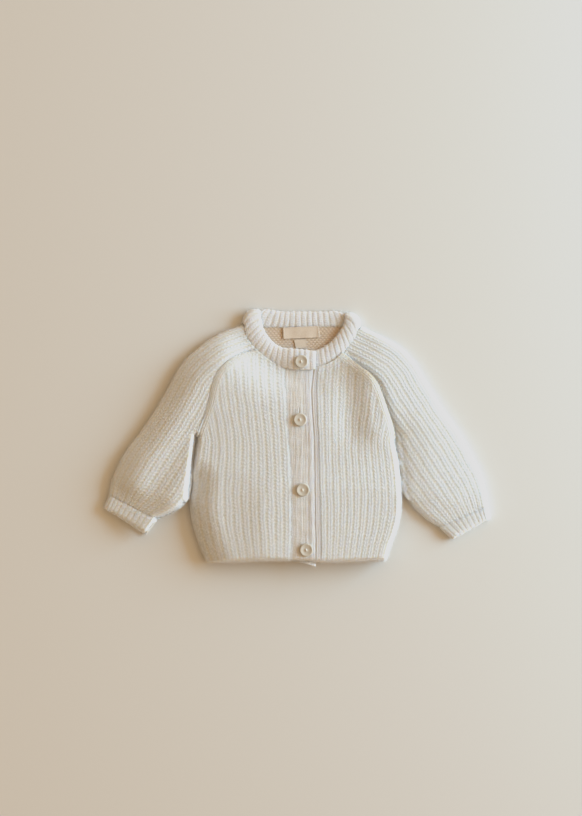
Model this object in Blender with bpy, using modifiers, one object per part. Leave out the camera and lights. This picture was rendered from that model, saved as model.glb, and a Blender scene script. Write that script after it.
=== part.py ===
"""A baby's chunky rib-knit raglan cardigan, buttoned up and laid flat on its back.

Lengths are in millimetres and become metres when a mesh is made. +X is the wearer's
left, +Y runs from the hem to the collar, and +Z is up from the table that the garment
lies on. The origin is on the table, under the middle of the garment.

The cloth lies in two layers. The back panel and the undersides of the sleeves and cuffs
rest on the table, and the fronts and the upper sides of the sleeves lie over them, with
a thin hollow between. A panel is a grid of points: its columns are the wales of the
knitting, which run up from the hem or cuff until they meet a seam, and its ribs are
raised in the outer points over a plain inside.
"""

import math

import bmesh
import bpy
import numpy as np

MM = 0.001
SEAM_GAP = 0.5
CLOTH_GAP = 0.3
# The middle of the garment's outline, in the x and y that the tables below use.
OUTLINE_MIDDLE = (0.0, 0.33)

# The layers, in heights above the table.
UNDER_TOP = 3.5
UPPER_FLOOR = 4.0
MIDDLE = 0.5 * (UNDER_TOP + UPPER_FLOOR)
UPPER_WALL = 3.6
RIB_HEIGHT = 1.4
# An edge that is rounded off still stands this high above the panel's inside.
LIP = 0.6
# The body's upper layer stands clear of the under layer by a lift that rises steeply from
# the garment's outline, a puff that rises slowly, ramps and folds. It sinks to the neck seam.
LIFT = 10.0
LIFT_MOST = 15.5
LIFT_REACH = 6.0
PUFF = 1.0
PUFF_REACH = 46.0
# The body's lower right side is slack: the upper layer rises slowly from it.
SLACK_SIDE = 34.0
SLACK_SIDE_BELOW = -50.0
NECK_SINK = 0.84
NECK_REACH = 19.0
# The sleeves rise inwards from their outer folds by their own rows of (distance, height).
RIGHT_SLEEVE_RISE = [(0, 0), (9, 4.4), (18, 8), (27, 9.8), (36, 10), (54, 10.2), (66, 11.2), (90, 11.5)]
LEFT_SLEEVE_RISE = [(0, 0), (3, 1.8), (8, 3.2), (20, 4.6), (32, 5.4), (60, 5.8), (90, 5.8)]
# At the cuffs they rise evenly: (height at the outer corner, at the inner corner).
CUFF_RISE_RIGHT = (1.0, 9.0)
CUFF_RISE_LEFT = (3.0, 2.5)
CUFF_REACH = 16.0
# The left sleeve's inner side is slack too. It isn't fully flat at the edge.
LEFT_SLEEVE_SLACK = 40.0
LEFT_SLEEVE_LEAST = 0.1
# How a sleeve sinks beside the body, as (depth, reach): along the raglan, along the side.
HOLLOWS_RIGHT = [(6.0, 4.5), (9.0, 4.5)]
HOLLOWS_LEFT = [(1.6, 6.0), (4.0, 8.0)]

# How wide the rounding of an edge is, and the share of the wall that is left at a seam.
SIDE_RADIUS = 7.0
FOLD_RADIUS = 6.5
HEM_RADIUS = 3.0
SEAM_RADIUS = 3.0
BAND_RADIUS = 2.5
INNER_RADIUS = 8.0
CUFF_INNER_RADIUS = 6.0
UNDER_FOLD_RADIUS = 4.0
UNDER_SIDE_RADIUS = 3.5
UNDER_HEM_RADIUS = 2.0
SEAM_SHARE = 0.75
# The inside of a sleeve's fold keeps this far from the fold, and less so away from it.
FOLD_PULL = 4.0
FOLD_PULL_REACH = 8.0

# Wales are drawn from below the hem to above the neck, and cut where they meet a line.
BELOW_HEM = -150.0
ABOVE_NECK = 150.0

# The body. Each row is a point of a line that a smooth curve follows, as (x, y).
BODY_RIBS = 12
# Where along its wales each panel has a row of points.
FRONT_ROWS = (0.0, 0.08, 0.21, 0.34, 0.47, 0.6, 0.73, 0.85, 0.94, 1.0)
HEM_ROWS = (0.0, 0.08, 0.32, 0.65, 1.0)
BACK_ROWS = np.linspace(0, 1, 11)
BACK_HEM_ROWS = (0.0, 0.06, 0.5, 1.0)
SLEEVE_ROWS = (0.0, 0.03, 0.1, 0.2, 0.3, 0.4, 0.5, 0.6, 0.7, 0.8, 0.9, 0.965, 1.0)
CUFF_ROWS = (0.0, 0.12, 0.5, 1.0)
BAND_ROWS = (0.0, 0.005, 0.012, 0.025, 0.045, 0.08, 0.2, 0.35, 0.5, 0.65, 0.8, 0.88, 0.94, 1.0)
HEM_SHARE = 0.75
HEM_TOP = -117.0
SIDE_RIGHT = [
    (-103.0, -143.5),
    (-111.0, -126.0),
    (-117.0, -108.0),
    (-121.5, -89.5),
    (-122.5, -71.5),
    (-120.5, -54.0),
    (-118.0, -32.5),
    (-115.0, -11.0),
    (-113.5, 0.5),
]
SIDE_LEFT = [
    (101.5, -141.5),
    (107.0, -123.0),
    (112.5, -109.0),
    (117.0, -92.5),
    (119.0, -74.0),
    (118.0, -52.0),
    (115.5, -27.0),
    (111.0, -1.5),
]
# Above the armpits the outermost wales would run on like this, were they not cut off.
WALES_ABOVE_RIGHT = [(-124.5, 31.5), (-129.0, 65.5), (-132.5, 105.5)]
WALES_ABOVE_LEFT = [(121.0, 25.5), (128.0, 60.0), (131.5, 105.5)]
HEM_EDGE = [
    (-125.0, -143.0),
    (-103.0, -142.5),
    (-72.5, -142.0),
    (-42.5, -140.5),
    (-8.0, -140.5),
    (27.0, -142.0),
    (66.0, -141.0),
    (101.5, -139.8),
    (125.0, -139.0),
]
RAGLAN_RIGHT = [
    (-113.5, 0.5),
    (-109.5, 13.0),
    (-104.0, 27.5),
    (-99.5, 41.5),
    (-96.0, 57.0),
    (-91.0, 71.0),
    (-82.0, 83.0),
    (-69.0, 92.5),
    (-49.0, 100.5),
]
RAGLAN_LEFT = [
    (111.0, -1.5),
    (108.0, 14.5),
    (101.5, 33.5),
    (96.0, 49.5),
    (90.5, 62.0),
    (82.0, 72.5),
    (69.0, 82.5),
    (53.0, 95.5),
]
BACK_RAGLAN_RIGHT = [(-113.5, 0.5), (-104.0, 25.5), (-89.0, 56.5), (-68.5, 93.0), (-45.5, 124.5)]
BACK_RAGLAN_LEFT = [(111.0, -1.5), (103.0, 25.5), (89.0, 56.5), (72.0, 92.0), (56.0, 124.5)]

# The button bands. The right one carries the buttonholes and lies over the left one.
BAND_RIBS = 7
BAND_RIB_HEIGHT = 0.5
BAND_WALL = 2.6
BAND_FLOOR = 6.9
BAND_STEP = 1.2
BAND_RAMP_SHARE = 0.2
BAND_SUNK = 0.4
UNDER_BAND_SUNK = 4.6
STRIP_SUNK = 0.5
STRIP_GAP = 0.5
UNDER_BAND_START = 7.0
UNDER_BAND_WALL = 2.5
BAND_SEAM_RIGHT = [
    (-14.5, 90.0),
    (-14.5, 73.5),
    (-13.0, 39.5),
    (-11.0, 8.5),
    (-9.0, -20.0),
    (-7.0, -60.0),
    (-6.5, -94.0),
    (-7.5, -123.0),
    (-8.0, -150.0),
]
BAND_EDGE = [
    (21.0, 90.0),
    (19.5, 76.0),
    (17.0, 54.0),
    (18.0, 25.5),
    (20.0, -3.0),
    (20.5, -48.5),
    (21.0, -94.0),
    (21.7, -123.0),
    (21.0, -150.0),
]
BAND_SEAM_LEFT = [
    (24.5, 90.0),
    (23.5, 79.5),
    (22.0, 54.0),
    (23.0, 25.5),
    (24.5, -3.0),
    (25.5, -48.5),
    (27.0, -94.0),
    (27.5, -123.0),
    (27.0, -150.0),
]

BAND_BOTTOM = [
    (-14.0, -140.3),
    (-8.0, -140.6),
    (1.0, -141.8),
    (10.3, -143.4),
    (19.5, -146.0),
    (26.0, -148.0),
]

# The sleeves: rows of (outer_x, outer_y, inner_x, inner_y), from the cuff to the collar.
# Above the elbow the inner side runs under the body, where the seams cut the wales off.
# Rib edges are distances over the widest part: the ribs bunch up towards the outer fold.
SLEEVE_RIB_EDGES = [0.0, 4.5, 9.5, 15.0, 21.5, 28.5, 36.0, 43.5, 51.0, 58.5, 66.0, 73.5]
SLEEVE_RIGHT = [
    (-214.5, -65.0, -158.5, -93.0),
    (-211.5, -48.5, -143.0, -86.5),
    (-204.5, -32.0, -129.0, -77.0),
    (-194.0, -13.5, -116.0, -58.0),
    (-175.0, 12.0, -100.0, -31.5),
    (-155.0, 43.0, -79.0, 0.0),
    (-134.5, 79.5, -61.5, 32.5),
    (-118.0, 98.0, -57.0, 37.0),
    (-93.5, 116.0, -47.0, 41.5),
    (-67.5, 126.5, -33.0, 47.5),
    (-49.0, 134.0, -19.5, 52.0),
]
SLEEVE_LEFT = [
    (218.5, -77.5, 161.5, -102.5),
    (212.5, -47.0, 145.0, -91.0),
    (200.0, -20.5, 129.0, -74.5),
    (185.5, 6.0, 112.0, -52.0),
    (165.5, 34.5, 97.0, -25.5),
    (147.0, 65.0, 74.0, 0.5),
    (135.0, 85.0, 60.5, 25.5),
    (118.5, 103.0, 56.0, 35.0),
    (94.0, 117.0, 47.0, 40.5),
    (78.5, 124.5, 35.5, 46.5),
    (60.5, 136.5, 24.0, 52.0),
]
CUFF_WALL = 3.2
CUFF_RIB_HEIGHT = 1.0
# Nearer to the cuff than this y, a sleeve's inner side lies free on the table.
SLEEVE_FREE_BELOW = -74.0
SLEEVE_BESIDE_BODY_ABOVE = -84.0
# Where a sleeve meets the roll of the collar at the shoulder's fold, as (x, y).
SHOULDER_RIGHT = [(-67.0, 137.5), (-64.0, 131.6), (-60.7, 127.8)]
SHOULDER_LEFT = [(78.5, 130.5), (74.0, 126.6), (70.6, 123.2)]
CUFF_END_RIGHT = (-221.0, -80.5, -172.5, -111.0)
CUFF_END_LEFT = (221.0, -92.5, 177.5, -116.5)

# The collar, a doubled band: rows of (seam_x, seam_y, edge_x, edge_y, underside).
# It starts at its buttonhole end, on top, and ends at its button end, underneath.
COLLAR_WALL = 4.4
COLLAR_RIB = 6.5
COLLAR_RIB_HEIGHT = 0.6
COLLAR_END_OVERLAP = 30.0
COLLAR_RIGHT = [
    (21.0, 78.0, 21.5, 98.5, 8.3),
    (5.5, 77.0, 5.5, 100.5, 8.3),
    (-8.0, 78.0, -7.0, 101.5, 7.9),
    (-19.5, 81.0, -16.0, 102.5, 6.6),
    (-30.0, 86.5, -24.0, 106.0, 5.8),
    (-40.5, 94.0, -30.5, 112.0, 5.5),
    (-49.5, 102.5, -36.0, 119.5, 5.4),
    (-56.0, 111.0, -39.5, 127.5, 5.3),
    (-59.5, 120.0, -41.5, 136.5, 5.3),
    (-60.0, 128.5, -42.0, 144.2, 5.3),
]
COLLAR_BACK = [
    (-60.0, 128.5, -42.0, 144.2, 0.0),
    (-49.0, 127.0, -36.0, 146.4, 0.0),
    (-36.5, 126.0, -28.5, 145.6, 0.0),
    (-19.5, 125.5, -16.0, 144.0, 0.0),
    (0.0, 125.5, 1.0, 144.0, 0.0),
    (19.5, 126.0, 18.5, 144.0, 0.0),
    (37.5, 126.5, 34.5, 144.0, 0.0),
    (55.0, 126.0, 47.0, 144.0, 0.0),
    (70.0, 124.0, 54.5, 140.5, 0.0),
]
COLLAR_LEFT = [
    (70.0, 124.0, 54.5, 140.5, 5.3),
    (65.5, 114.0, 54.5, 133.0, 5.3),
    (58.5, 104.5, 51.0, 124.5, 5.2),
    (51.0, 95.5, 45.5, 116.5, 5.0),
    (42.0, 87.5, 38.0, 108.5, 4.7),
    (31.5, 82.0, 28.0, 102.0, 4.3),
    (20.5, 79.0, 18.5, 99.0, 4.0),
    (7.0, 77.5, 7.0, 98.5, 4.0),
    (-5.0, 78.0, -4.5, 99.0, 4.0),
]
# A section of the collar: rows of (share of the height, share of the wall, whether ribbed).
COLLAR_SECTION = [
    (0.0, 0.22, 0),
    (0.1, 0.345, 1),
    (0.3, 0.485, 1),
    (0.55, 0.52, 1),
    (0.8, 0.41, 1),
    (1.0, 0.12, 0),
    (1.0, -0.12, 0),
    (0.8, -0.41, 1),
    (0.55, -0.52, 1),
    (0.3, -0.485, 1),
    (0.1, -0.345, 1),
    (0.0, -0.22, 0),
]
# The parts of the neck seams that the sleeves end at: below a y in front, between two x behind.
NECK_FRONT_RIGHT_BELOW = 120.0
NECK_FRONT_LEFT_BELOW = 116.0
NECK_BACK_RIGHT = (-56.0, -30.0)
NECK_BACK_LEFT = (40.0, 66.0)
# At the folds over the shoulders the collar bows outward, and less so away from them.
COLLAR_BOW = 4.0
COLLAR_BOW_REACH = 14.0

# Soft folds: (x, y, x, y, half-width, rise) along a line. A rise below 0 is a hollow.
FOLDS = [
    (53.0, 82.0, 57.0, 12.0, 13.0, -2.0),
    (92.0, 62.0, 95.0, 14.0, 19.0, 3.5),
]
# Ramps that rise with x: (from x, to x, in full below y, gone above y, rise).
RAMPS = [
    (-112.0, -20.0, 200.0, 300.0, 2.0),
    (-85.0, -18.0, -75.0, -20.0, 2.0),
]

BUTTON_HOLE_RADIUS = 0.9
BUTTON_HOLE_SIDES = 8
BUTTON_HOLE_OFFSET = 1.6
BUTTON_STEPS = 18
CUTTER_LENGTH = 12.0
# Places of the buttons as (x, y), from the collar down.
COLLAR_BUTTON = (5.0, 86.5)
BAND_BUTTONS = [(3.5, 20.5), (6.5, -59.0), (10.5, -127.0)]
# A button's profile from its middle: (radius, height), down its outer side to the base.
BUTTON_PROFILE = [
    (0.0, 1.75),
    (2.8, 1.75),
    (4.5, 2.0),
    (6.0, 2.5),
    (6.9, 2.5),
    (7.6, 1.6),
    (7.0, 0.5),
    (5.5, 0.1),
    (0.0, 0.0),
]

# The woven label hangs from the neck seam: its corners on the back panel, as (x, y).
LABEL_WALL = 0.6
LABEL_TOP = [(-16.5, 125.5), (25.0, 127.5)]
LABEL_BOTTOM = [(-15.5, 112.5), (26.5, 114.5)]
# How high the tapes' undersides are, as (share of the way down, height).
LABEL_HEIGHTS = [(0.0, 4.9), (0.15, 4.7), (0.4, 3.9), (1.0, 3.9)]
TAG_HEIGHTS = [(0.0, 3.85), (1.0, 3.85)]
TAG_TOP = [(-3.5, 111.8), (10.5, 112.4)]
TAG_BOTTOM = [(-1.0, 102.0), (11.0, 102.5)]

CREAM = (0.84, 0.81, 0.74)
BAND_CREAM = (0.80, 0.76, 0.69)
SHELL = (0.76, 0.73, 0.66)
SHELL_ROUGHNESS = 0.35
CLOTH_ROUGHNESS = 0.95
PEACH = (0.86, 0.74, 0.60)


# ---------------------------------------------------------------- curves and distances


def spline(rows, per_span=12):
    """Points on a smooth curve through the rows of a table, of any number of columns."""
    rows = np.array(rows, float)
    ends = np.vstack([2 * rows[0] - rows[1], rows, 2 * rows[-1] - rows[-2]])
    found = []
    for before, here, there, after in zip(ends, ends[1:], ends[2:], ends[3:]):
        for step in range(per_span):
            t = step / per_span
            found.append(
                here
                + 0.5 * t * (there - before)
                + t * t * (before - 2.5 * here + 2 * there - 0.5 * after)
                + t**3 * (1.5 * (here - there) + 0.5 * (after - before))
            )
    found.append(rows[-1])
    return np.array(found)


def across(line, y):
    """x of a line that runs up or down, at each height y."""
    order = np.argsort(line[:, 1])
    return np.interp(y, line[order, 1], line[order, 0])


def offset(line, by, reach=6.0):
    """A line moved to its left by a distance, with both ends carried on a little."""
    line = np.array(line, float)
    along = np.gradient(line, axis=0)
    along /= np.linalg.norm(along, axis=1, keepdims=True)
    moved = line + by * np.column_stack([-along[:, 1], along[:, 0]])
    return np.vstack([moved[0] - reach * along[0], moved, moved[-1] + reach * along[-1]])


def trimmed(path, fences):
    """The part of a path up to the first fence that it meets."""
    steps = np.diff(path, axis=0)
    end = len(path) - 1.001
    for fence in fences:
        spans = np.diff(fence, axis=0)
        apart = fence[None, :-1] - path[:-1, None]
        turn = steps[:, None, 0] * spans[None, :, 1] - steps[:, None, 1] * spans[None, :, 0]
        turn = np.where(np.abs(turn) < 1e-12, 1e-12, turn)
        on_path = (apart[..., 0] * spans[None, :, 1] - apart[..., 1] * spans[None, :, 0]) / turn
        on_fence = (apart[..., 0] * steps[:, None, 1] - apart[..., 1] * steps[:, None, 0]) / turn
        hits = (on_path >= 0) & (on_path < 1) & (on_fence >= 0) & (on_fence <= 1)
        if hits.any():
            end = min(end, (np.arange(len(steps))[:, None] + on_path)[hits].min())
    last = int(end)
    return np.vstack([path[: last + 1], path[last] + (end - last) * steps[last]])


def resampled(path, shares):
    """Points at the given shares of a path's length."""
    lengths = np.linalg.norm(np.diff(path, axis=0), axis=1)
    reached = np.concatenate([[0.0], np.cumsum(lengths)])
    at = np.array(shares) * reached[-1]
    return np.column_stack([np.interp(at, reached, column) for column in path.T])


def distance(points, lines):
    """How far each point of a grid is from the nearest of some lines, in plan."""
    flat = points.reshape(-1, 2)
    nearest = np.full(len(flat), np.inf)
    for line in lines:
        spans = np.diff(line, axis=0)
        squares = np.maximum((spans**2).sum(1), 1e-12)
        apart = flat[:, None] - line[None, :-1]
        share = np.clip((apart * spans).sum(2) / squares, 0, 1)
        gaps = np.linalg.norm(apart - share[..., None] * spans, axis=2)
        nearest = np.minimum(nearest, gaps.min(1))
    return nearest.reshape(points.shape[:-1])


def rounding(points, edges):
    """1 inside a panel, falling to a share at each of its edges: (lines, radius, share)."""
    least = np.ones(points.shape[:-1])
    for lines, radius, share in edges:
        inward = np.clip(distance(points, lines) / radius, 0, 1)
        bulge = np.sqrt(1 - (1 - inward) ** 2)
        least = np.minimum(least, share + (1 - share) * bulge)
    return least


# ------------------------------------------------------------------- the shared lines

side_right = spline(SIDE_RIGHT)
side_left = spline(SIDE_LEFT)
wales_right = spline(SIDE_RIGHT + WALES_ABOVE_RIGHT)
wales_left = spline(SIDE_LEFT + WALES_ABOVE_LEFT)
hem_edge = spline(HEM_EDGE)
raglan_right = spline(RAGLAN_RIGHT)
raglan_left = spline(RAGLAN_LEFT)
back_raglan_right = spline(BACK_RAGLAN_RIGHT)
back_raglan_left = spline(BACK_RAGLAN_LEFT)
band_seam_right = spline(BAND_SEAM_RIGHT)
band_edge = spline(BAND_EDGE)
band_seam_left = spline(BAND_SEAM_LEFT)
sleeve_right = spline(SLEEVE_RIGHT)
sleeve_left = spline(SLEEVE_LEFT)
collar_right = spline(COLLAR_RIGHT)
collar_back = spline(COLLAR_BACK)
collar_left = spline(COLLAR_LEFT)
band_bottom = spline(BAND_BOTTOM)

outline = [
    side_right,
    side_left,
    hem_edge,
    sleeve_right[:, :2],
    sleeve_left[:, :2],
    sleeve_right[sleeve_right[:, 3] < SLEEVE_FREE_BELOW][:, 2:],
    sleeve_left[sleeve_left[:, 3] < SLEEVE_FREE_BELOW][:, 2:],
    np.array(CUFF_END_RIGHT).reshape(2, 2),
    np.array(CUFF_END_LEFT).reshape(2, 2),
]


neck = [collar_right[:, :2], collar_left[:, :2]]
slack_side = [side_right[side_right[:, 1] < SLACK_SIDE_BELOW]]
slack_inside = [
    sleeve_left[sleeve_left[:, 3] < SLEEVE_FREE_BELOW][:, 2:],
    side_left[(side_left[:, 1] < 0) & (side_left[:, 1] > SLEEVE_BESIDE_BODY_ABOVE)],
]


def dip(points, lines, depth, reach):
    """A soft hollow along some lines."""
    return depth * np.exp(-((distance(points, lines) / reach) ** 2))


def step(value, low, high):
    """0 up to low and 1 from high, with a soft step between."""
    share = np.clip((value - low) / (high - low), 0, 1)
    return share * share * (3 - 2 * share)


def rounded(points):
    """A factor that rounds the upper layer down to the garment's outline."""
    return np.sqrt(1 - (1 - np.clip(distance(points, outline) / LIFT_REACH, 0, 1)) ** 2)


def sine_rise(points, lines, reach):
    """A factor that rises from 0 on some lines to 1 at a distance."""
    return np.sin(0.5 * math.pi * np.clip(distance(points, lines) / reach, 0, 1))


def lift(points):
    """How far the inside of the body's upper layer stands above its lowest place."""
    full = np.minimum(rounded(points), sine_rise(points, slack_side, SLACK_SIDE))
    height = LIFT * full + PUFF * sine_rise(points, outline, PUFF_REACH)
    for start, end, low, high, rise in RAMPS:
        height += full * rise * step(points[..., 0], start, end) * (1 - step(points[..., 1], low, high))
    for x1, y1, x2, y2, half_width, rise in FOLDS:
        height += full * dip(points, [np.array([(x1, y1), (x2, y2)])], rise, half_width)
    height *= 1 - dip(points, neck, NECK_SINK, NECK_REACH)
    return np.clip(height, 0.0, LIFT_MOST)


def sleeve_lift(points, stations, rises, cuff_rise):
    """The same for a sleeve, from its outer fold inwards and level along its cuff."""
    from_fold = distance(points, [stations[:, :2]])
    cuff = stations[0].reshape(2, 2)
    across = np.clip(from_fold / np.linalg.norm(cuff[1] - cuff[0]), 0, 1)
    near = dip(points, [cuff], 1.0, CUFF_REACH)
    at_cuff = cuff_rise[0] + (cuff_rise[1] - cuff_rise[0]) * across
    height = np.interp(from_fold, *zip(*rises)) * (1 - near) + at_cuff * near
    height *= np.where(from_fold < LIFT_REACH, np.maximum(rounded(points), 1 - near), rounded(points))
    return height * (1 - dip(points, neck, NECK_SINK, NECK_REACH))


def right_lift(points):
    """How far the inside of the right sleeve's upper layer stands above its lowest place."""
    return sleeve_lift(points, sleeve_right, RIGHT_SLEEVE_RISE, CUFF_RISE_RIGHT)


def left_lift(points):
    """The same for the left sleeve."""
    inner = sine_rise(points, slack_inside, LEFT_SLEEVE_SLACK)
    height = sleeve_lift(points, sleeve_left, LEFT_SLEEVE_RISE, CUFF_RISE_LEFT)
    return height * (LEFT_SLEEVE_LEAST + (1 - LEFT_SLEEVE_LEAST) * inner)


# --------------------------------------------------------------------- making objects


def clear_scene():
    for found in list(bpy.data.objects):
        bpy.data.objects.remove(found)


def make_collection(name):
    made = bpy.data.collections.new(name)
    bpy.context.scene.collection.children.link(made)
    return made


def make_material(name, colour, roughness):
    material = bpy.data.materials.new(name)
    material.use_nodes = True
    shader = material.node_tree.nodes["Principled BSDF"]
    shader.inputs["Base Color"].default_value = (*colour, 1.0)
    shader.inputs["Roughness"].default_value = roughness
    shader.inputs["Metallic"].default_value = 0.0
    return material


def make_object(name, points, faces, colour, roughness=CLOTH_ROUGHNESS):
    """A closed body from its points, in millimetres, with its faces turned outward."""
    mesh = bpy.data.meshes.new(name)
    mesh.from_pydata((np.array(points) * MM).tolist(), [], faces)
    shaped = bmesh.new()
    shaped.from_mesh(mesh)
    bmesh.ops.recalc_face_normals(shaped, faces=shaped.faces)
    shaped.to_mesh(mesh)
    shaped.free()
    mesh.materials.append(make_material(name, colour, roughness))
    made = bpy.data.objects.new(name, mesh)
    garment.objects.link(made)
    return made


def cloth(name, outer, inner, colour=CREAM):
    """A wall between two grids of points, closed round its rim."""
    rows, columns = outer.shape[:2]
    number = np.arange(rows * columns).reshape(rows, columns)
    under = number + rows * columns
    faces = []
    for grid in (number, under):
        for row in range(rows - 1):
            for column in range(columns - 1):
                corners = grid[row : row + 2, column : column + 2]
                faces.append([corners[0, 0], corners[0, 1], corners[1, 1], corners[1, 0]])
    rim = np.concatenate([number[0, :-1], number[:-1, -1], number[-1, :0:-1], number[:0:-1, 0]])
    for here, there in zip(rim, np.roll(rim, -1)):
        faces.append([there, here, here + rows * columns, there + rows * columns])
    faces = [[int(corner) for corner in face] for face in faces]
    return make_object(name, np.vstack([outer.reshape(-1, 3), inner.reshape(-1, 3)]), faces, colour)


def raised(plan, heights):
    return np.dstack([plan, np.broadcast_to(heights, plan.shape[:-1])])


def wale_columns(edges, rise):
    """Places and heights of the columns that draw ribs between the given edges."""
    places, heights = [], []
    for here, there in zip(edges, edges[1:]):
        for share, height in ((0.0, 0.0), (0.3, rise), (0.7, rise)):
            places.append(here + share * (there - here))
            heights.append(height)
    places.append(edges[-1])
    heights.append(0.0)
    return np.array(places), np.array(heights)


# ------------------------------------------------------------------ the body's panels


def body_paths(seam, side, shares, low, high):
    """One path in plan for each wale, from the height low to the height high."""
    y = np.linspace(low, high, 120)
    inner = across(seam, y)
    outer = across(side, y)
    return [np.column_stack([inner + share * (outer - inner), y]) for share in shares]


def above(path, bottom):
    """The part of a path that lies above the line that it crosses at its bottom."""
    return trimmed(path[::-1], [bottom])[::-1]


def upper_panel(name, paths, row_shares, rises, wall, edges):
    plan = np.stack([resampled(path, row_shares) for path in paths], axis=1)
    floor = UPPER_FLOOR + lift(plan)
    outer = floor + LIP + (wall - LIP + rises[None, :]) * rounding(plan, edges)
    return cloth(name, raised(plan, outer), raised(plan, floor))


def front(side_name, seam, side, wales, raglan, neck, turn):
    """A front and its ribbed hem. turn is +1 on the wearer's left and -1 on the right."""
    shares, rises = wale_columns(np.linspace(0, 1, BODY_RIBS + 1), RIB_HEIGHT)
    seam = seam + np.array([turn * SEAM_GAP, 0.0])
    fences = [offset(raglan, turn * SEAM_GAP), neck]
    edges = [
        ([side], SIDE_RADIUS, 0.0),
        ([raglan, neck, seam], SEAM_RADIUS, SEAM_SHARE),
    ]
    paths = body_paths(seam, wales, shares, HEM_TOP + SEAM_GAP / 2, ABOVE_NECK)
    paths = [trimmed(path, fences) for path in paths]
    upper_panel("front_" + side_name, paths, FRONT_ROWS, rises, UPPER_WALL, edges)
    paths = body_paths(seam, wales, shares, BELOW_HEM, HEM_TOP - SEAM_GAP / 2)
    paths = [above(path, hem_edge) for path in paths]
    edges.append(([hem_edge], HEM_RADIUS, 0.2))
    hem_name = "hem_front_" + side_name
    upper_panel(hem_name, paths, HEM_ROWS, rises * HEM_SHARE, UPPER_WALL, edges)


def back(seams):
    """The back and its hem: flat below, where it rests, and plain inside."""
    near = [0.0, 0.007, 0.016, 0.04]
    shares = np.concatenate([near, np.linspace(0.1, 0.9, 11), 1 - np.array(near[::-1])])
    fences = [offset(seams[0], -2 * SEAM_GAP), offset(seams[1], 2 * SEAM_GAP), back_neck]
    edges = [([side_right, side_left], UNDER_SIDE_RADIUS, 0.0)]
    spans = [
        ("back", HEM_TOP + SEAM_GAP / 2, ABOVE_NECK, BACK_ROWS),
        ("hem_back", BELOW_HEM, HEM_TOP - SEAM_GAP / 2, BACK_HEM_ROWS),
    ]
    for name, low, high, rows in spans:
        paths = body_paths(wales_right, wales_left, shares, low, high)
        if name == "back":
            paths = [trimmed(path, fences) for path in paths]
        else:
            paths = [above(path, hem_edge) for path in paths]
            edges.append(([hem_edge], UNDER_HEM_RADIUS, 0.3))
        plan = np.stack([resampled(path, rows) for path in paths], axis=1)
        bottom = 0.5 * UNDER_TOP * (1 - rounding(plan, edges))
        cloth(name, raised(plan, bottom), raised(plan, UNDER_TOP))


# ---------------------------------------------------------------- the sleeves and cuffs


def share_through(stations, point):
    """The share of a sleeve's width whose wale runs through a point."""
    shares = np.linspace(0.1, 1.0, 451)
    outer_edge, inner_edge = stations[:, :2], stations[:, 2:]
    gaps = [
        distance(point[None], [outer_edge + share * (inner_edge - outer_edge)])[0]
        for share in shares
    ]
    return shares[int(np.argmin(gaps))]


def with_columns(shares, rises, extra):
    """Columns with more of them added between, each as high as its place needs."""
    for share in extra:
        beside = np.searchsorted(shares, share)
        rise = np.interp(share, shares, rises)
        shares = np.insert(shares, beside, share)
        rises = np.insert(rises, beside, rise)
    return shares, rises


def rolled(name, stations, fences, row_shares, wall, rise, edges, corners=()):
    """A sleeve or cuff: one wall rolled round its outer fold, with a seam at its inner side.

    Columns run along the sleeve. They start at the seam on the underside, go round the
    fold, and come back over the upper side, where they carry the ribs. A column runs to
    each corner of the seams: the armpit, then the seams' tops above and below. What is
    returned is the two rims from the armpit to the neck.
    """
    ribs = np.array(SLEEVE_RIB_EDGES) / SLEEVE_RIB_EDGES[-1]
    upper, rises = wale_columns(ribs, rise)
    upper[0] = 0.004
    lower = np.array([0.018, 0.05, 0.12, 0.25, 0.4, 0.55, 0.7, 0.85, 0.95, 0.985, 1.0])
    armpit = 1.0
    if corners:
        armpit, above, below = [share_through(stations, corner) for corner in corners]
        upper, rises = with_columns(upper, rises, (armpit, above))
        lower, _ = with_columns(lower, np.zeros(len(lower)), (armpit, below))
    lower = lower[::-1]
    fold = np.array([0.0])
    shares = np.concatenate([lower, fold, upper])
    rises = np.concatenate([np.zeros(len(lower) + 1), rises])
    on_top = np.arange(len(shares)) >= len(lower) + 1
    plans, insides = [], []
    for share, top in zip(shares, on_top):
        outer_edge, inner_edge = stations[:, :2], stations[:, 2:]
        width = np.linalg.norm(inner_edge - outer_edge, axis=1, keepdims=True)
        far = share * width
        pull = FOLD_PULL * np.clip(1 - far / FOLD_PULL_REACH, 0, 1) ** 2
        toward = (inner_edge - outer_edge) / width
        fence = fences[1] if top or share == 0.0 else fences[0]
        plans.append(resampled(trimmed(outer_edge + far * toward, fence), row_shares))
        insides.append(resampled(trimmed(outer_edge + (far + pull) * toward, fence), row_shares))
    plan, inside = np.stack(plans, axis=1), np.stack(insides, axis=1)
    outer_line = [stations[:, :2]]
    under_edges = [(outer_line, UNDER_FOLD_RADIUS, 0.0)] + edges["lower"]
    under = MIDDLE * (1 - rounding(plan, under_edges))
    sunk = [dip(inside, *hollow) for hollow in edges["hollows"]]
    floor = UPPER_FLOOR + np.maximum(edges["lift"](inside) - sum(sunk), 0.0)
    round_over = rounding(plan, [(outer_line, FOLD_RADIUS, 0.0)] + edges["upper"])
    over = MIDDLE + (floor - MIDDLE + wall + rises[None, :]) * round_over
    middle = np.arange(len(shares)) == len(lower)
    outer = np.where(on_top[None, :], np.maximum(over, UPPER_FLOOR + LIP), under)
    outer = np.where(shares[None, :] < 0.01, np.where(on_top[None, :], over, MIDDLE), outer)
    inner = np.where(on_top[None, :], floor, UNDER_TOP)
    inner = np.where(middle[None, :], MIDDLE, inner)
    cloth(name, raised(plan, outer), raised(inside, inner))
    return [plan[-1, (on_top == side) & (shares <= armpit)] for side in (True, False)]


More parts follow.
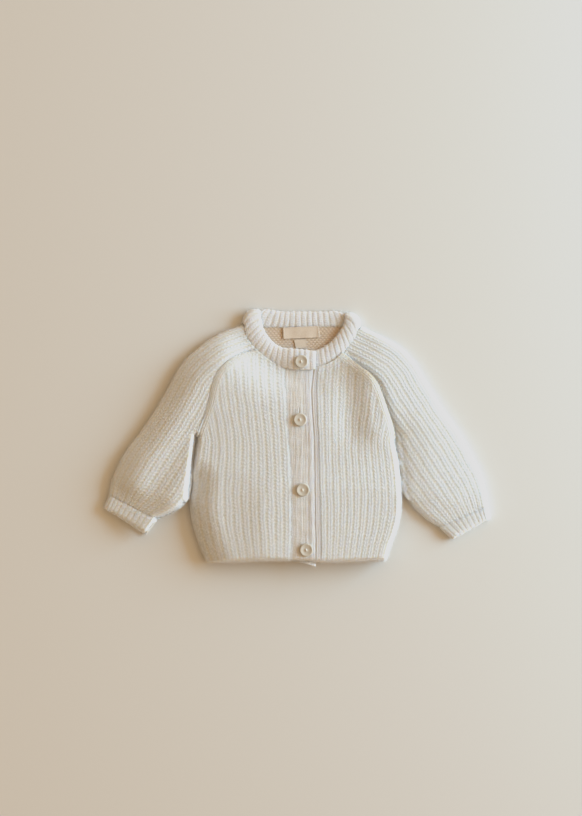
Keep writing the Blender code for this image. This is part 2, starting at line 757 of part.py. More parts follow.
def nearest_first(line, shoulder):
    """A neck seam carried on round the roll of the collar at the shoulder's fold."""
    shoulder = np.array(shoulder)
    ends = np.linalg.norm(line[[0, -1]] - shoulder[-1], axis=1)
    return np.vstack([shoulder, line if ends[0] < ends[1] else line[::-1]])


def sleeve(side_name, stations, cuff_end, lines, shoulder, necks, hollows, own_lift, turn):
    """A sleeve and its cuff. turn is +1 on the wearer's left and -1 on the right.

    It returns the sleeve's edges at the front's seam and at the back's, going up.
    """
    side, raglan, back_raglan = lines
    beside = side[side[:, 1] > SLEEVE_BESIDE_BODY_ABOVE]
    by_body = offset(beside, turn * -SEAM_GAP, reach=0.0)
    seam = offset(raglan, turn * -SEAM_GAP / 2)
    hidden_seam = offset(back_raglan, turn * -SEAM_GAP / 2)
    neck, back_neck = [nearest_first(line, shoulder) for line in necks]
    fences = ([by_body, hidden_seam, back_neck], [by_body, seam, neck])
    inner_line = stations[stations[:, 3] < SLEEVE_FREE_BELOW][:, 2:]
    edges = {
        "lower": [([inner_line, by_body], UNDER_SIDE_RADIUS, 0.45)],
        "upper": [
            ([inner_line, by_body], INNER_RADIUS, 0.1),
            ([seam, neck], SEAM_RADIUS, SEAM_SHARE),
        ],
        "hollows": [([raglan], *hollows[0]), ([by_body], *hollows[1])],
        "lift": own_lift,
    }
    axis = stations[1] - stations[0]
    start = stations[0] + axis * (SEAM_GAP / 2) / np.linalg.norm(axis[:2])
    body = np.vstack([start, stations[1:]])
    corners = (by_body[-1], raglan[-1], back_raglan[-1])
    name = "sleeve_" + side_name
    rims = rolled(name, body, fences, SLEEVE_ROWS, UPPER_WALL, RIB_HEIGHT, edges, corners)
    end = np.array(cuff_end)
    top = stations[0] + (end - stations[0]) * SEAM_GAP / 2 / np.linalg.norm((end - stations[0])[:2])
    cuff = np.linspace(end, top, 9)
    inner_side, end_edge = [cuff[:, 2:]], [cuff[0].reshape(2, 2)]
    edges = {
        "lower": [(inner_side, UNDER_SIDE_RADIUS, 0.45), (end_edge, UNDER_HEM_RADIUS, 0.3)],
        "upper": [(inner_side, CUFF_INNER_RADIUS, 0.1), (end_edge, HEM_RADIUS, 0.5)],
        "hollows": [],
        "lift": own_lift,
    }
    rolled("cuff_" + side_name, cuff, ([], []), CUFF_ROWS, CUFF_WALL, CUFF_RIB_HEIGHT, edges)
    return rims[0][::-1], rims[1]


# --------------------------------------------------------------------------- the collar


def collar_outward(station, turn):
    """The direction, in plan, that the collar's fold at a shoulder faces."""
    along = np.array([station[2] - station[0], station[3] - station[1]])
    along /= np.linalg.norm(along)
    return np.array([along[1], -along[0]]) * turn


def collar_turn(station, turn):
    """The collar's fold at a shoulder, from its upper layer down to its lower one."""
    seam_x, seam_y, edge_x, edge_y, underside = station
    outward = collar_outward(station, turn)
    radius = underside / 2
    rows = []
    for angle in np.linspace(0, math.pi, 9):
        out = outward * radius * math.sin(angle)
        middle = COLLAR_WALL / 2 + radius + radius * math.cos(angle)
        seam = (seam_x + out[0], seam_y + out[1])
        edge = (edge_x + out[0], edge_y + out[1])
        normal = (*(outward * math.sin(angle)), math.cos(angle))
        rows.append((*seam, middle, *edge, *normal))
    return np.array(rows)


def collar_layer(stations, facing):
    """Rows (seam, middle height, edge, normal) where the collar lies flat."""
    count = len(stations)
    middle = stations[:, 4] + COLLAR_WALL / 2
    normal = np.tile([0.0, 0.0, facing], (count, 1))
    return np.column_stack([stations[:, :2], middle, stations[:, 2:4], normal])


def collar():
    """The ribbed collar: one doubled band, open at the front, its ends lapped."""
    right_turn = collar_turn(COLLAR_RIGHT[-1], -1)
    left_turn = collar_turn(COLLAR_LEFT[0], 1)[::-1]
    path = np.vstack(
        [
            collar_layer(collar_right[:-1], 1.0),
            right_turn,
            collar_layer(collar_back[1:-1], -1.0),
            left_turn,
            collar_layer(collar_left[1:], 1.0),
        ]
    )
    middles = np.column_stack([(path[:, :2] + path[:, 3:5]) / 2, path[:, 2]])
    reached = np.concatenate([[0.0], np.cumsum(np.linalg.norm(np.diff(middles, axis=0), axis=1))])
    ribs = round(reached[-1] / COLLAR_RIB)
    places, rises = wale_columns(np.linspace(0, reached[-1], ribs + 1), COLLAR_RIB_HEIGHT)
    folds = []
    for station, turn, rows in ((COLLAR_RIGHT[-1], -1, right_turn), (COLLAR_LEFT[0], 1, left_turn)):
        middle = np.argmax(np.abs(path[:, :2] - rows[len(rows) // 2, :2]).sum(1) < CLOTH_GAP)
        folds.append((reached[middle], COLLAR_BOW * collar_outward(station, turn)))
    sections = []
    for place, rise in zip(places, rises):
        row = np.array([np.interp(place, reached, column) for column in path.T])
        seam = np.array([row[0], row[1], row[2]])
        edge = np.array([row[3], row[4], row[2]])
        normal = row[5:8] / np.linalg.norm(row[5:8])
        lapped_under = reached[-1] - place < COLLAR_END_OVERLAP
        outside = rise * np.clip(0.5 + normal[2], 0, 1) * (not lapped_under)
        inside = rise * np.clip(-normal[2], 0, 1)
        bow = np.zeros(3)
        for at, outward in folds:
            bow[:2] += outward * math.exp(-(((place - at) / COLLAR_BOW_REACH) ** 2))
        section = []
        for share, depth, ribbed in COLLAR_SECTION:
            more = (outside if depth > 0 else -inside) * ribbed
            bowed = seam + share * (edge - seam) + 4 * share * (1 - share) * bow
            section.append(bowed + normal * (depth * COLLAR_WALL + more))
        sections.append(section)
    sections = np.array(sections)
    count, size = sections.shape[:2]
    faces = []
    for place in range(count - 1):
        for corner in range(size):
            following = (corner + 1) % size
            here, there = place * size, (place + 1) * size
            faces.append([here + corner, here + following, there + following, there + corner])
    faces.append(list(range(size)))
    faces.append([(count - 1) * size + corner for corner in range(size)])
    make_object("collar", sections.reshape(-1, 3), faces, CREAM)


# ---------------------------------------------------------------- the bands and fittings


def band_floor(points):
    """How high the underside of the buttonhole band is."""
    return UPPER_FLOOR + UPPER_WALL - BAND_SUNK - BAND_WALL + lift(points)


def buttonhole_band(neck):
    """The band on the wearer's right front, which laps over the button band."""
    shares = np.linspace(0, 1, 2 * BAND_RIBS + 1)
    shares[-2] = 0.96
    rises = BAND_RIB_HEIGHT * (np.arange(len(shares)) % 2)
    rises[-2] = BAND_RIB_HEIGHT
    seam = band_seam_right + np.array([SEAM_GAP, 0.0])
    paths = []
    for path in body_paths(seam, band_edge, shares, BELOW_HEM, ABOVE_NECK):
        paths.append(trimmed(above(path, band_bottom), [neck]))
    plan = np.stack([resampled(path, BAND_ROWS) for path in paths], axis=1)
    ramp = np.clip(1 - shares / BAND_RAMP_SHARE, 0, 1)
    floor = np.maximum(BAND_FLOOR - BAND_STEP * ramp[None, :], band_floor(plan))
    edges = [
        ([band_edge, band_bottom], BAND_RADIUS, 0.45),
        ([seam], BAND_RADIUS, SEAM_SHARE),
    ]
    outer = floor + LIP + (BAND_WALL - LIP + rises[None, :]) * rounding(plan, edges)
    cloth("buttonhole_band", raised(plan, outer), raised(plan, floor), BAND_CREAM)


def button_band(neck):
    """The band on the wearer's left front.

    It is mostly hidden under the other one, and beside that one's edge a strip of it stands
    as high as the front.
    """
    left = band_seam_right + np.array([UNDER_BAND_START, 0.0])
    right = band_seam_left - np.array([SEAM_GAP, 0.0])
    under = body_paths(left, band_edge, (0.0, 0.1, 0.5, 0.9, 1.0), BELOW_HEM, ABOVE_NECK)
    strip_start = band_edge + np.array([STRIP_GAP, 0.0])
    strip = body_paths(strip_start, right, (0.0, 0.5, 1.0), BELOW_HEM, ABOVE_NECK)
    paths = [trimmed(above(path, hem_edge), [neck]) for path in under + strip]
    plan = np.stack([resampled(path, BAND_ROWS) for path in paths], axis=1)
    in_strip = np.arange(len(paths)) >= len(under)
    floor = UPPER_FLOOR + np.maximum(lift(plan) - UNDER_BAND_SUNK, 0.0)
    level = UPPER_FLOOR + UPPER_WALL - STRIP_SUNK + lift(plan)
    wall = np.where(in_strip[None, :], level - floor, UNDER_BAND_WALL)
    round_over = rounding(plan, [([left, hem_edge], UNDER_HEM_RADIUS, 0.4)])
    outer = floor + LIP + (wall - LIP) * round_over
    cloth("button_band", raised(plan, outer), raised(plan, floor), BAND_CREAM)


def button(name, x, y, base, cutters):
    mesh = bpy.data.meshes.new(name)
    profile = [(radius * MM, 0.0, height * MM) for radius, height in BUTTON_PROFILE]
    mesh.from_pydata(profile, [(i, i + 1) for i in range(len(profile) - 1)], [])
    mesh.materials.append(make_material(name, SHELL, SHELL_ROUGHNESS))
    made = bpy.data.objects.new(name, mesh)
    made.location = (x * MM, y * MM, base * MM)
    garment.objects.link(made)
    turned = made.modifiers.new("turned", "SCREW")
    turned.steps = BUTTON_STEPS
    turned.render_steps = BUTTON_STEPS
    turned.use_merge_vertices = True
    turned.merge_threshold = 0.00001
    for side in (-1, 1):
        bpy.ops.mesh.primitive_cylinder_add(
            vertices=BUTTON_HOLE_SIDES, radius=BUTTON_HOLE_RADIUS * MM, depth=CUTTER_LENGTH * MM
        )
        cutter = bpy.context.object
        cutter.name = f"cutter_{name}_{side}"
        cutter.location = ((x + side * BUTTON_HOLE_OFFSET) * MM, y * MM, base * MM)
        cutter.hide_render = True
        cutter.display_type = "WIRE"
        for home in list(cutter.users_collection):
            home.objects.unlink(cutter)
        cutters.objects.link(cutter)
        hole = made.modifiers.new(f"hole {side}", "BOOLEAN")
        hole.operation = "DIFFERENCE"
        hole.solver = "EXACT"
        hole.object = cutter


def tape(name, top, bottom, heights, colour):
    """A flat piece of woven tape between a top and a bottom edge."""
    top, bottom = np.array(top), np.array(bottom)
    rows = []
    for down, height in heights:
        start, end = top + down * (bottom - top)
        rows.append([(*(start + share * (end - start)), height) for share in (0.0, 0.5, 1.0)])
    under = np.array(rows)
    over = under + np.array([0.0, 0.0, LABEL_WALL])
    cloth(name, over, under, colour)


# --------------------------------------------------------------------------- the build

clear_scene()
garment = make_collection("baby_cardigan")
cutters = make_collection("cutters")

front_neck_right = offset(collar_right[:, :2], SEAM_GAP)
front_neck_left = offset(collar_left[:, :2], SEAM_GAP)
back_neck = offset(collar_back[:, :2], -SEAM_GAP, reach=0.0)


def behind(span):
    """The part of the back's neck seam between two x."""
    return back_neck[(back_neck[:, 0] > span[0]) & (back_neck[:, 0] < span[1])]


seam_right, back_seam_right = sleeve(
    "right",
    sleeve_right,
    CUFF_END_RIGHT,
    (side_right, raglan_right, back_raglan_right),
    SHOULDER_RIGHT,
    (front_neck_right[front_neck_right[:, 1] < NECK_FRONT_RIGHT_BELOW], behind(NECK_BACK_RIGHT)),
    HOLLOWS_RIGHT,
    right_lift,
    -1,
)
seam_left, back_seam_left = sleeve(
    "left",
    sleeve_left,
    CUFF_END_LEFT,
    (side_left, raglan_left, back_raglan_left),
    SHOULDER_LEFT,
    (front_neck_left[front_neck_left[:, 1] < NECK_FRONT_LEFT_BELOW], behind(NECK_BACK_LEFT)),
    HOLLOWS_LEFT,
    left_lift,
    1,
)
front("right", band_seam_right, side_right, wales_right, seam_right, front_neck_right, -1)
front("left", band_seam_left, side_left, wales_left, seam_left, front_neck_left, 1)
back((back_seam_right, back_seam_left))
collar()
buttonhole_band(front_neck_right)
button_band(front_neck_left)
collar_top = COLLAR_RIGHT[0][4] + COLLAR_WALL + COLLAR_RIB_HEIGHT
button("button_1", *COLLAR_BUTTON, collar_top + CLOTH_GAP, cutters)
for number, (x, y) in enumerate(BAND_BUTTONS, start=2):
    band_top = band_floor(np.array([[x, y]]))[0] + BAND_WALL + BAND_RIB_HEIGHT
    button(f"button_{number}", x, y, band_top + CLOTH_GAP, cutters)
tape("label", LABEL_TOP, LABEL_BOTTOM, LABEL_HEIGHTS, PEACH)
tape("size_tag", TAG_TOP, TAG_BOTTOM, TAG_HEIGHTS, PEACH)
for made in [*garment.objects, *cutters.objects]:
    made.location.x -= OUTLINE_MIDDLE[0] * MM
    made.location.y -= OUTLINE_MIDDLE[1] * MM
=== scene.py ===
"""Looks for a baby's rib-knit cardigan, buttoned up and laid flat on its back.

Each cloth piece is a shell on the form of the CAD solid that it stands for, made from the
same tables of lines, with the stitches of the knitting raised in its outer points. The
rises of the body and the sleeves differ from the solids' by a few millimetres. Lengths
in the tables are in millimetres, in the garment's own x and y, and become metres when a
mesh is made.
"""

import math

import bpy
import numpy as np
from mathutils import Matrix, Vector


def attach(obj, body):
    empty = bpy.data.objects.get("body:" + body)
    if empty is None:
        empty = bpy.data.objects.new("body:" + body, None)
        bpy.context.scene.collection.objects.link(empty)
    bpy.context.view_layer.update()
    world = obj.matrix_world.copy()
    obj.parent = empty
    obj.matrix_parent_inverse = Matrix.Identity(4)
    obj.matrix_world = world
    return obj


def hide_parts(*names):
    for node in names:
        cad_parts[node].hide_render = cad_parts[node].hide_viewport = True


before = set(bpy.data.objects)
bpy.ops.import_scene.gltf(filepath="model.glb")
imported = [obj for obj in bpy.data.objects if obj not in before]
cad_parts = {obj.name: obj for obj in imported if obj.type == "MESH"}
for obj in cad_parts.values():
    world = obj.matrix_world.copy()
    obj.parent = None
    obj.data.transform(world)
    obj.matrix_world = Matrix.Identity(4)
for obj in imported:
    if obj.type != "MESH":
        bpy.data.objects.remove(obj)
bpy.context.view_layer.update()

MM = 0.001
# The middle of the garment's outline in the tables' x and y, which is the frame's origin.
OUTLINE_MIDDLE = np.array([0.0, 0.33, 0.0])

# ---- heights and sizes

# The top of the lower layer, the upper layer's underside at its lowest, and the height of
# a sleeve's outer fold.
UNDER_TOP = 3.5
UPPER_FLOOR = 4.0
MIDDLE = 3.75
# The upper layer's thickness, and what is left of it at an edge.
UPPER_WALL = 3.6
LIP = 0.6
# How far the body's upper layer is puffed up: over LIFT_REACH from the outline, a little
# more over PUFF_REACH, and never past LIFT_MOST.
LIFT = 13.0
LIFT_REACH = 6.0
PUFF = 0.5
PUFF_REACH = 46.0
LIFT_MOST = 17.5
# From the lower part of the right side it rises more slowly: over how far, and below which y.
SLACK_SIDE_RIGHT = 34.0
SLACK_SIDE_BELOW = -50.0
# Near the collar the upper layer sinks by this share, over about this distance.
NECK_SINK = 0.84
NECK_REACH = 26.0
# How a sleeve sinks beside the body, as (depth, reach): along the raglan, along the side.
HOLLOWS_RIGHT = [(-0.5, 4.0), (5.5, 4.0)]
HOLLOWS_LEFT = [(1.6, 6.0), (4.0, 8.0)]
# A sleeve's inner edge is free of the body below the first y, and it lies against the
# body's side above the second.
FREE_BELOW = -74.0
BESIDE_BODY_ABOVE = -84.0
# How long before a sleeve's end its rows begin to turn towards the neck's seam.
TURNING = 42.0
# How far the inside of its wall is drawn in from its fold, and over what distance.
FOLD_PULL = 4.0
FOLD_PULL_REACH = 8.0
# Its height near the fold is softened over these steps, in full from SOFT_FROM inwards.
SOFT_STEPS = (-4.0, -2.0, 0.0, 2.0, 4.0)
SOFT_FROM = 8.0
# How far apart the edges of two joined panels are. Below zero they overlap.
SEAM_GAP = -0.8
# Above this y the rib stands out more than it does in the hem.
HEM_TOP = -117.0
# The wales of a front and a grid's lines on each, the length of a stitch, and the share of
# its relief that is kept.
BODY_RIBS = 12
RIB_LINES = 13
ROW_PITCH = 4.1
RELIEF = 0.78
# The length of a stitch of the collar and the buttonhole band.
FINE_ROW = 3.0
# How pale a surface without stitches is: the painted light and shade that the wool's colour follows, here
# even.
PLAIN_PALE = 0.8
# The plain knitting beside the raglan seams: the width of its wales, and how far from the
# seam it begins to give way to the rib and has done so in full.
EDGE_WALE = 4.4
EDGE_FROM, EDGE_TO = 4.5, 9.5
# The y that the wales' paths start from, their number of points, and over how many of these
# on each side the middle ones are softened.
PATHS_FROM = -150.0
PATH_POINTS = 140
SOFTENED = 14
# The spacing of a grid along the wales, and the number of lines over the top of a sleeve.
FINE = 0.74
UPPER_COLUMNS = 100
# Loose fibres: their width, the range of their lengths before some are shortened, and how
# many stand on each square centimetre.
FIBRE_WIDTH = 0.09
FUZZ_LENGTHS = (1.8, 6.5)
BAND_FUZZ_LENGTHS = (1.2, 3.2)
FUZZ_PER_CM2 = 115
# No fibre goes below this height.
FIBRE_LOWEST = 0.15
# The radius of the yarn in the raglan seams.
SEAM_YARN = 1.5

# ---- curves and distances

# The points on a curve for each row of its table.
SPAN_POINTS = 8


def spline(rows):
    """Points on a smooth curve through the rows of a table, of any number of columns."""
    rows = np.array(rows, float)
    ends = np.vstack([2 * rows[0] - rows[1], rows, 2 * rows[-1] - rows[-2]])
    found = []
    for before, here, there, after in zip(ends, ends[1:], ends[2:], ends[3:]):
        for step in range(SPAN_POINTS):
            t = step / SPAN_POINTS
            found.append(
                here
                + 0.5 * t * (there - before)
                + t * t * (before - 2.5 * here + 2 * there - 0.5 * after)
                + t**3 * (1.5 * (here - there) + 0.5 * (after - before))
            )
    found.append(rows[-1])
    return np.array(found)


def across(line, y):
    """x of a line that runs up or down, at each height y."""
    order = np.argsort(line[:, 1])
    return np.interp(y, line[order, 1], line[order, 0])


def unit(vectors):
    """Each vector at a length of 1."""
    return vectors / np.maximum(np.linalg.norm(vectors, axis=-1, keepdims=True), 1e-9)


def offset(line, by, reach=6.0):
    """A line moved to its left by a distance, with both ends carried on a little."""
    line = np.array(line, float)
    along = unit(np.gradient(line, axis=0))
    moved = line + by * np.column_stack([-along[:, 1], along[:, 0]])
    return np.vstack([moved[0] - reach * along[0], moved, moved[-1] + reach * along[-1]])


def crossings(starts, steps, fence):
    """Where steps meet the spans of a fence, as shares along each step and each span."""
    spans = np.diff(fence, axis=0)
    apart = fence[None, :-1] - starts[:, None]
    turn = steps[:, None, 0] * spans[None, :, 1] - steps[:, None, 1] * spans[None, :, 0]
    turn = np.where(np.abs(turn) < 1e-12, 1e-12, turn)
    on_step = (apart[..., 0] * spans[None, :, 1] - apart[..., 1] * spans[None, :, 0]) / turn
    on_fence = (apart[..., 0] * steps[:, None, 1] - apart[..., 1] * steps[:, None, 0]) / turn
    return on_step, on_fence


def trimmed(path, fences):
    """The part of a path up to the first fence that it meets."""
    steps = np.diff(path, axis=0)
    end = len(path) - 1.001
    for fence in fences:
        on_path, on_fence = crossings(path[:-1], steps, fence)
        hits = (on_path >= 0) & (on_path < 1) & (on_fence >= 0) & (on_fence <= 1)
        if hits.any():
            end = min(end, (np.arange(len(steps))[:, None] + on_path)[hits].min())
    last = int(end)
    return np.vstack([path[: last + 1], path[last] + (end - last) * steps[last]])


def lengths(path):
    """The length of each step of a path."""
    return np.linalg.norm(np.diff(path, axis=0), axis=1)


def so_far(path):
    """How long a path is up to each of its points."""
    return np.concatenate([[0.0], np.cumsum(lengths(path))])


def rows_at(marks, reached, table):
    """The rows of a table at marks between its own, column by column."""
    return np.column_stack([np.interp(marks, reached, column) for column in table.T])


def resampled(path, shares):
    """Points at the given shares of a path's length, and the length."""
    reached = so_far(path)
    return rows_at(np.array(shares) * reached[-1], reached, path), reached[-1]


def nearest(points, line):
    """The distance from each point to a line in plan, and how far along the line that is."""
    flat = points.reshape(-1, 2)
    starts = line[:-1]
    spans = np.diff(line, axis=0)
    squares = np.maximum((spans**2).sum(1), 1e-12)
    reached = np.concatenate([[0.0], np.cumsum(np.sqrt(squares))])[:-1]
    gaps, places = [], []
    for start in range(0, len(flat), 8192):
        apart = flat[start : start + 8192, None] - starts[None]
        share = np.clip((apart * spans).sum(2) / squares, 0, 1)
        gap = ((apart - share[..., None] * spans) ** 2).sum(2)
        best = gap.argmin(1)
        rows = np.arange(len(best))
        gaps.append(np.sqrt(gap[rows, best]))
        places.append(reached[best] + share[rows, best] * np.sqrt(squares[best]))
    shape = points.shape[:-1]
    return np.concatenate(gaps).reshape(shape), np.concatenate(places).reshape(shape)


def distance(points, lines):
    """How far each point is from the nearest of several lines, in plan."""
    return np.min([nearest(points, line)[0] for line in lines], axis=0)


def quarter_round(share):
    """0 at 0, rising as a quarter of a circle to 1 at 1 and beyond."""
    return np.sqrt(1 - (1 - np.clip(share, 0, 1)) ** 2)


def bell(value, width):
    """1 at 0, falling softly on both sides over about a width."""
    return np.exp(-((value / width) ** 2))


def rounding(points, edges):
    """1 inside a panel, falling to a share at each of its edges: (lines, radius, share)."""
    least = np.ones(points.shape[:-1])
    for lines, radius, share in edges:
        bulge = quarter_round(distance(points, lines) / radius)
        least = np.minimum(least, share + (1 - share) * bulge)
    return least


def dip(points, lines, depth, reach_mm):
    """A soft hollow along a seam, the same on both sides of it."""
    return depth * bell(distance(points, lines), reach_mm)


def smooth(value, low, high):
    """0 below low, 1 above high, with a soft step between."""
    t = np.clip((value - low) / (high - low), 0, 1)
    return t * t * (3 - 2 * t)


def sine_rise(share):
    """0 at 0, rising ever more slowly to 1 at 1 and beyond."""
    return np.sin(0.5 * math.pi * np.clip(share, 0, 1))


def wave(turns):
    """1 at each whole turn, falling to 0 half-way between two."""
    return 0.5 + 0.5 * np.cos(math.tau * turns)


def wander(x, y, size, seed):
    """Soft noise, mostly from -1 to 1, that changes over about the given size."""
    random = np.random.default_rng(seed)
    total = np.zeros(np.broadcast(x, y).shape)
    for _ in range(6):
        turn = random.uniform(0, math.tau)
        rate = math.tau / (size * random.uniform(0.7, 1.8))
        total = total + np.sin(
            rate * (math.cos(turn) * x + math.sin(turn) * y) + random.uniform(0, math.tau)
        )
    return total / 3.0


# ---- the lines of the garment, as (x, y)

SIDE_RIGHT = [
    (-103, -143.5), (-111, -126), (-117, -108), (-121.5, -89.5), (-122.5, -71.5), (-120.5, -54),
    (-118, -32.5), (-115, -11), (-113.5, 0.5),
]
SIDE_LEFT = [
    (101.5, -141.5), (107, -123), (112.5, -109), (117, -92.5), (119, -74), (118, -52), (115.5, -27),
    (111, -1.5),
]
WALES_ABOVE_RIGHT = [(-124.5, 31.5), (-129, 65.5), (-132.5, 105.5)]
WALES_ABOVE_LEFT = [(121, 25.5), (128, 60), (131.5, 105.5)]
side_right = spline(SIDE_RIGHT)
side_left = spline(SIDE_LEFT)
wales_right = spline(SIDE_RIGHT + WALES_ABOVE_RIGHT)
wales_left = spline(SIDE_LEFT + WALES_ABOVE_LEFT)
hem_edge = spline([
    (-125, -143), (-103, -142.5), (-72.5, -142), (-42.5, -140.5), (-8, -140.5), (27, -142), (66, -141),
    (101.5, -139.8), (125, -139),
])
raglan_right = spline([
    (-113.5, 0.5), (-109.5, 13), (-104, 27.5), (-99.5, 41.5), (-96, 57), (-91, 71), (-82, 83), (-69, 92.5),
    (-49, 100.5),
])
raglan_left = spline([
    (111, -1.5), (108, 14.5), (101.5, 33.5), (96, 49.5), (90.5, 62), (82, 72.5), (69, 82.5), (53, 95.5),
])
back_raglan_right = spline([(-113.5, 0.5), (-104, 25.5), (-89, 56.5), (-68.5, 93), (-45.5, 124.5)])
back_raglan_left = spline([(111, -1.5), (103, 25.5), (89, 56.5), (72, 92), (56, 124.5)])

# The buttonhole band: its thickness, the least height of its underside, how much lower that
# is at the seam, and how far its top lies below the fronts' top.
BAND_WALL = 2.6
BAND_FLOOR = 6.9
BAND_STEP = 1.2
BAND_SUNK = 0.4
# The button band: its thickness, how far from the other band's seam it starts, how far it
# lies below the fronts' underside, and how far its strip that shows lies below their top.
UNDER_BAND_WALL = 2.5
UNDER_BAND_START = 7.0
UNDER_BAND_SUNK = 4.6
STRIP_SUNK = 0.1
# The wales of the buttonhole band, and its slits: their place from each button, their
# half length and width, and how deep each is, which also sets their painted shade.
BAND_WALES = 8
SLIT_PLACE = (-1.0, 2.5)
SLIT_HALF = 11.0
SLIT_WIDTH = 0.55
SLIT_DEPTHS = (0.8, 0.3, 0.35)
band_seam_right = spline([
    (-14.5, 90), (-14.5, 73.5), (-13, 39.5), (-11, 8.5), (-9, -20), (-7, -60), (-6.5, -94), (-7.5, -123),
    (-8, -150),
])
band_edge = spline([
    (21, 90), (19.5, 76), (17, 54), (18, 25.5), (20, -3), (20.5, -48.5), (21, -94), (21.7, -123),
    (21, -150),
])
band_seam_left = spline([
    (24.5, 90), (23.5, 79.5), (22, 54), (23, 25.5), (24.5, -3), (25.5, -48.5), (27, -94), (27.5, -123),
    (27, -150),
])
band_bottom = spline([
    (-14, -140.3), (-8, -140.6), (1, -141.8), (10.3, -143.4), (19.5, -146), (26, -148),
])

# Where a sleeve's wales begin, across it from the outer fold. They fill its whole width.
SLEEVE_RIB_EDGES = [0, 4.5, 9.5, 15, 21.5, 28.5, 36, 43.5, 51, 58.5, 66, 73.5]
# The sleeves: rows of (outer_x, outer_y, inner_x, inner_y), from the cuff to the collar.
sleeve_right = spline([
    (-214.5, -65, -158.5, -93), (-211.5, -48.5, -143, -86.5), (-204.5, -32, -129, -77),
    (-194, -13.5, -116, -58), (-175, 12, -100, -31.5), (-155, 43, -79, 0), (-134.5, 79.5, -61.5, 32.5),
    (-118, 98, -57, 37), (-93.5, 116, -47, 41.5), (-67.5, 126.5, -33, 47.5), (-49, 134, -19.5, 52),
])
sleeve_left = spline([
    (218.5, -77.5, 161.5, -102.5), (212.5, -47, 145, -91), (200, -20.5, 129, -74.5), (185.5, 6, 112, -52),
    (165.5, 34.5, 97, -25.5), (147, 65, 74, 0.5), (135, 85, 60.5, 25.5), (118.5, 103, 56, 35),
    (94, 117, 47, 40.5), (78.5, 124.5, 35.5, 46.5), (60.5, 136.5, 24, 52),
])
# The cuffs: their thickness, and the outer and inner corner of each one's end.
CUFF_WALL = 3.2
CUFF_END_RIGHT = (-221.0, -80.5, -172.5, -111.0)
CUFF_END_LEFT = (221.0, -92.5, 177.5, -116.5)
# Round the collar's roll at each shoulder.
SHOULDER_RIGHT = [(-67.0, 137.5), (-64.0, 131.6), (-60.7, 127.8)]
SHOULDER_LEFT = [(78.5, 130.5), (74.0, 126.6), (70.6, 123.2)]

# The collar: its thickness, the width of its ribs and its own, how far its folds at the
# shoulders bow out and over what distance, and how much of its end is lapped under.
COLLAR_WALL = 4.4
COLLAR_RIB = 6.5
COLLAR_WIDTH = 22.0
COLLAR_BOW = 4.0
COLLAR_BOW_REACH = 14.0
COLLAR_END_OVERLAP = 30.0
# Rows of (seam_x, seam_y, edge_x, edge_y, height of the underside).
collar_right = spline([
    (21, 78, 21.5, 98.5, 8.3), (5.5, 77, 5.5, 100.5, 8.3), (-8, 78, -7, 101.5, 7.9),
    (-19.5, 81, -16, 102.5, 6.6), (-30, 86.5, -24, 106, 5.8), (-40.5, 94, -30.5, 112, 5.5),
    (-49.5, 102.5, -36, 119.5, 5.4), (-56, 111, -39.5, 127.5, 5.3), (-59.5, 120, -41.5, 136.5, 5.3),
    (-60, 128.5, -42, 144.2, 5.3),
])
collar_back = spline([
    (-60, 128.5, -42, 144.2, 0), (-49, 127, -36, 146.4, 0), (-36.5, 126, -28.5, 145.6, 0),
    (-19.5, 125.5, -16, 144, 0), (0, 125.5, 1, 144, 0), (19.5, 126, 18.5, 144, 0),
    (37.5, 126.5, 34.5, 144, 0), (55, 126, 47, 144, 0), (70, 124, 54.5, 140.5, 0),
])
collar_left = spline([
    (70, 124, 54.5, 140.5, 5.3), (65.5, 114, 54.5, 133, 5.3), (58.5, 104.5, 51, 124.5, 5.2),
    (51, 95.5, 45.5, 116.5, 5), (42, 87.5, 38, 108.5, 4.7), (31.5, 82, 28, 102, 4.3),
    (20.5, 79, 18.5, 99, 4), (7, 77.5, 7, 98.5, 4), (-5, 78, -4.5, 99, 4),
])

# The largest folds of the upper layer: (x1, y1, x2, y2, half_width, height).
FOLDS = [(56, 84, 60, 10, 15, -1.8), (86, 80, 92, 12, 18, 3.6)]
# Ramps that rise towards the wearer's left: (from x, to x, at full below y, none above y, rise).
RAMPS = [(-112, -20, 200, 300, 1), (-85, -18, -75, -20, 4)]
# How the sleeves rise inwards from their outer folds, as (distance, height).
RIGHT_SLEEVE_RISE = [
    (0, 0), (10, 5), (19, 9.5), (28, 12.2), (34, 12.6), (46, 12.6), (52, 13), (71, 17.2), (90, 17.2),
]
LEFT_SLEEVE_RISE = [(0, 0), (3, 1.8), (8, 2.8), (20, 3.8), (32, 4.4), (60, 4.8), (90, 4.8)]
# From its inner edge the left sleeve rises slowly, over this distance.
LEFT_SLEEVE_SLACK = 40.0
# At the cuffs they rise evenly, over about CUFF_REACH: (height at the outer corner, at the
# inner corner).
CUFF_RISE_RIGHT = (0.5, 10.5)
CUFF_RISE_LEFT = (3.0, 2.5)
CUFF_REACH = 16.0

# How far a button stands off the band or the collar, and the collar's own button's height.
BUTTON_GAP = 0.4
COLLAR_BUTTON_GAP = 0.35
COLLAR_BUTTON_BASE = collar_right[0, 4] + COLLAR_WALL + COLLAR_BUTTON_GAP
# Each button's place and how far it is turned on its thread, from the collar down.
BUTTONS = [(5.0, 86.5, 0.35), (3.5, 20.5, 1.2), (6.5, -59.0, 0.2), (10.5, -127.0, 0.9)]
# The tapes' edges, as two points each, the height of their undersides and their thickness.
LABEL_TOP = [(-16.5, 125.5), (25.0, 127.5)]
LABEL_BOTTOM = [(-15.5, 112.5), (26.5, 114.5)]
TAG_TOP = [(-3.5, 111.8), (10.5, 112.4)]
TAG_BOTTOM = [(-1.0, 102.0), (11.0, 102.5)]
LABEL_HEIGHT = 4.35
TAG_HEIGHT = 3.95
TAPE_THICKNESS = 0.35
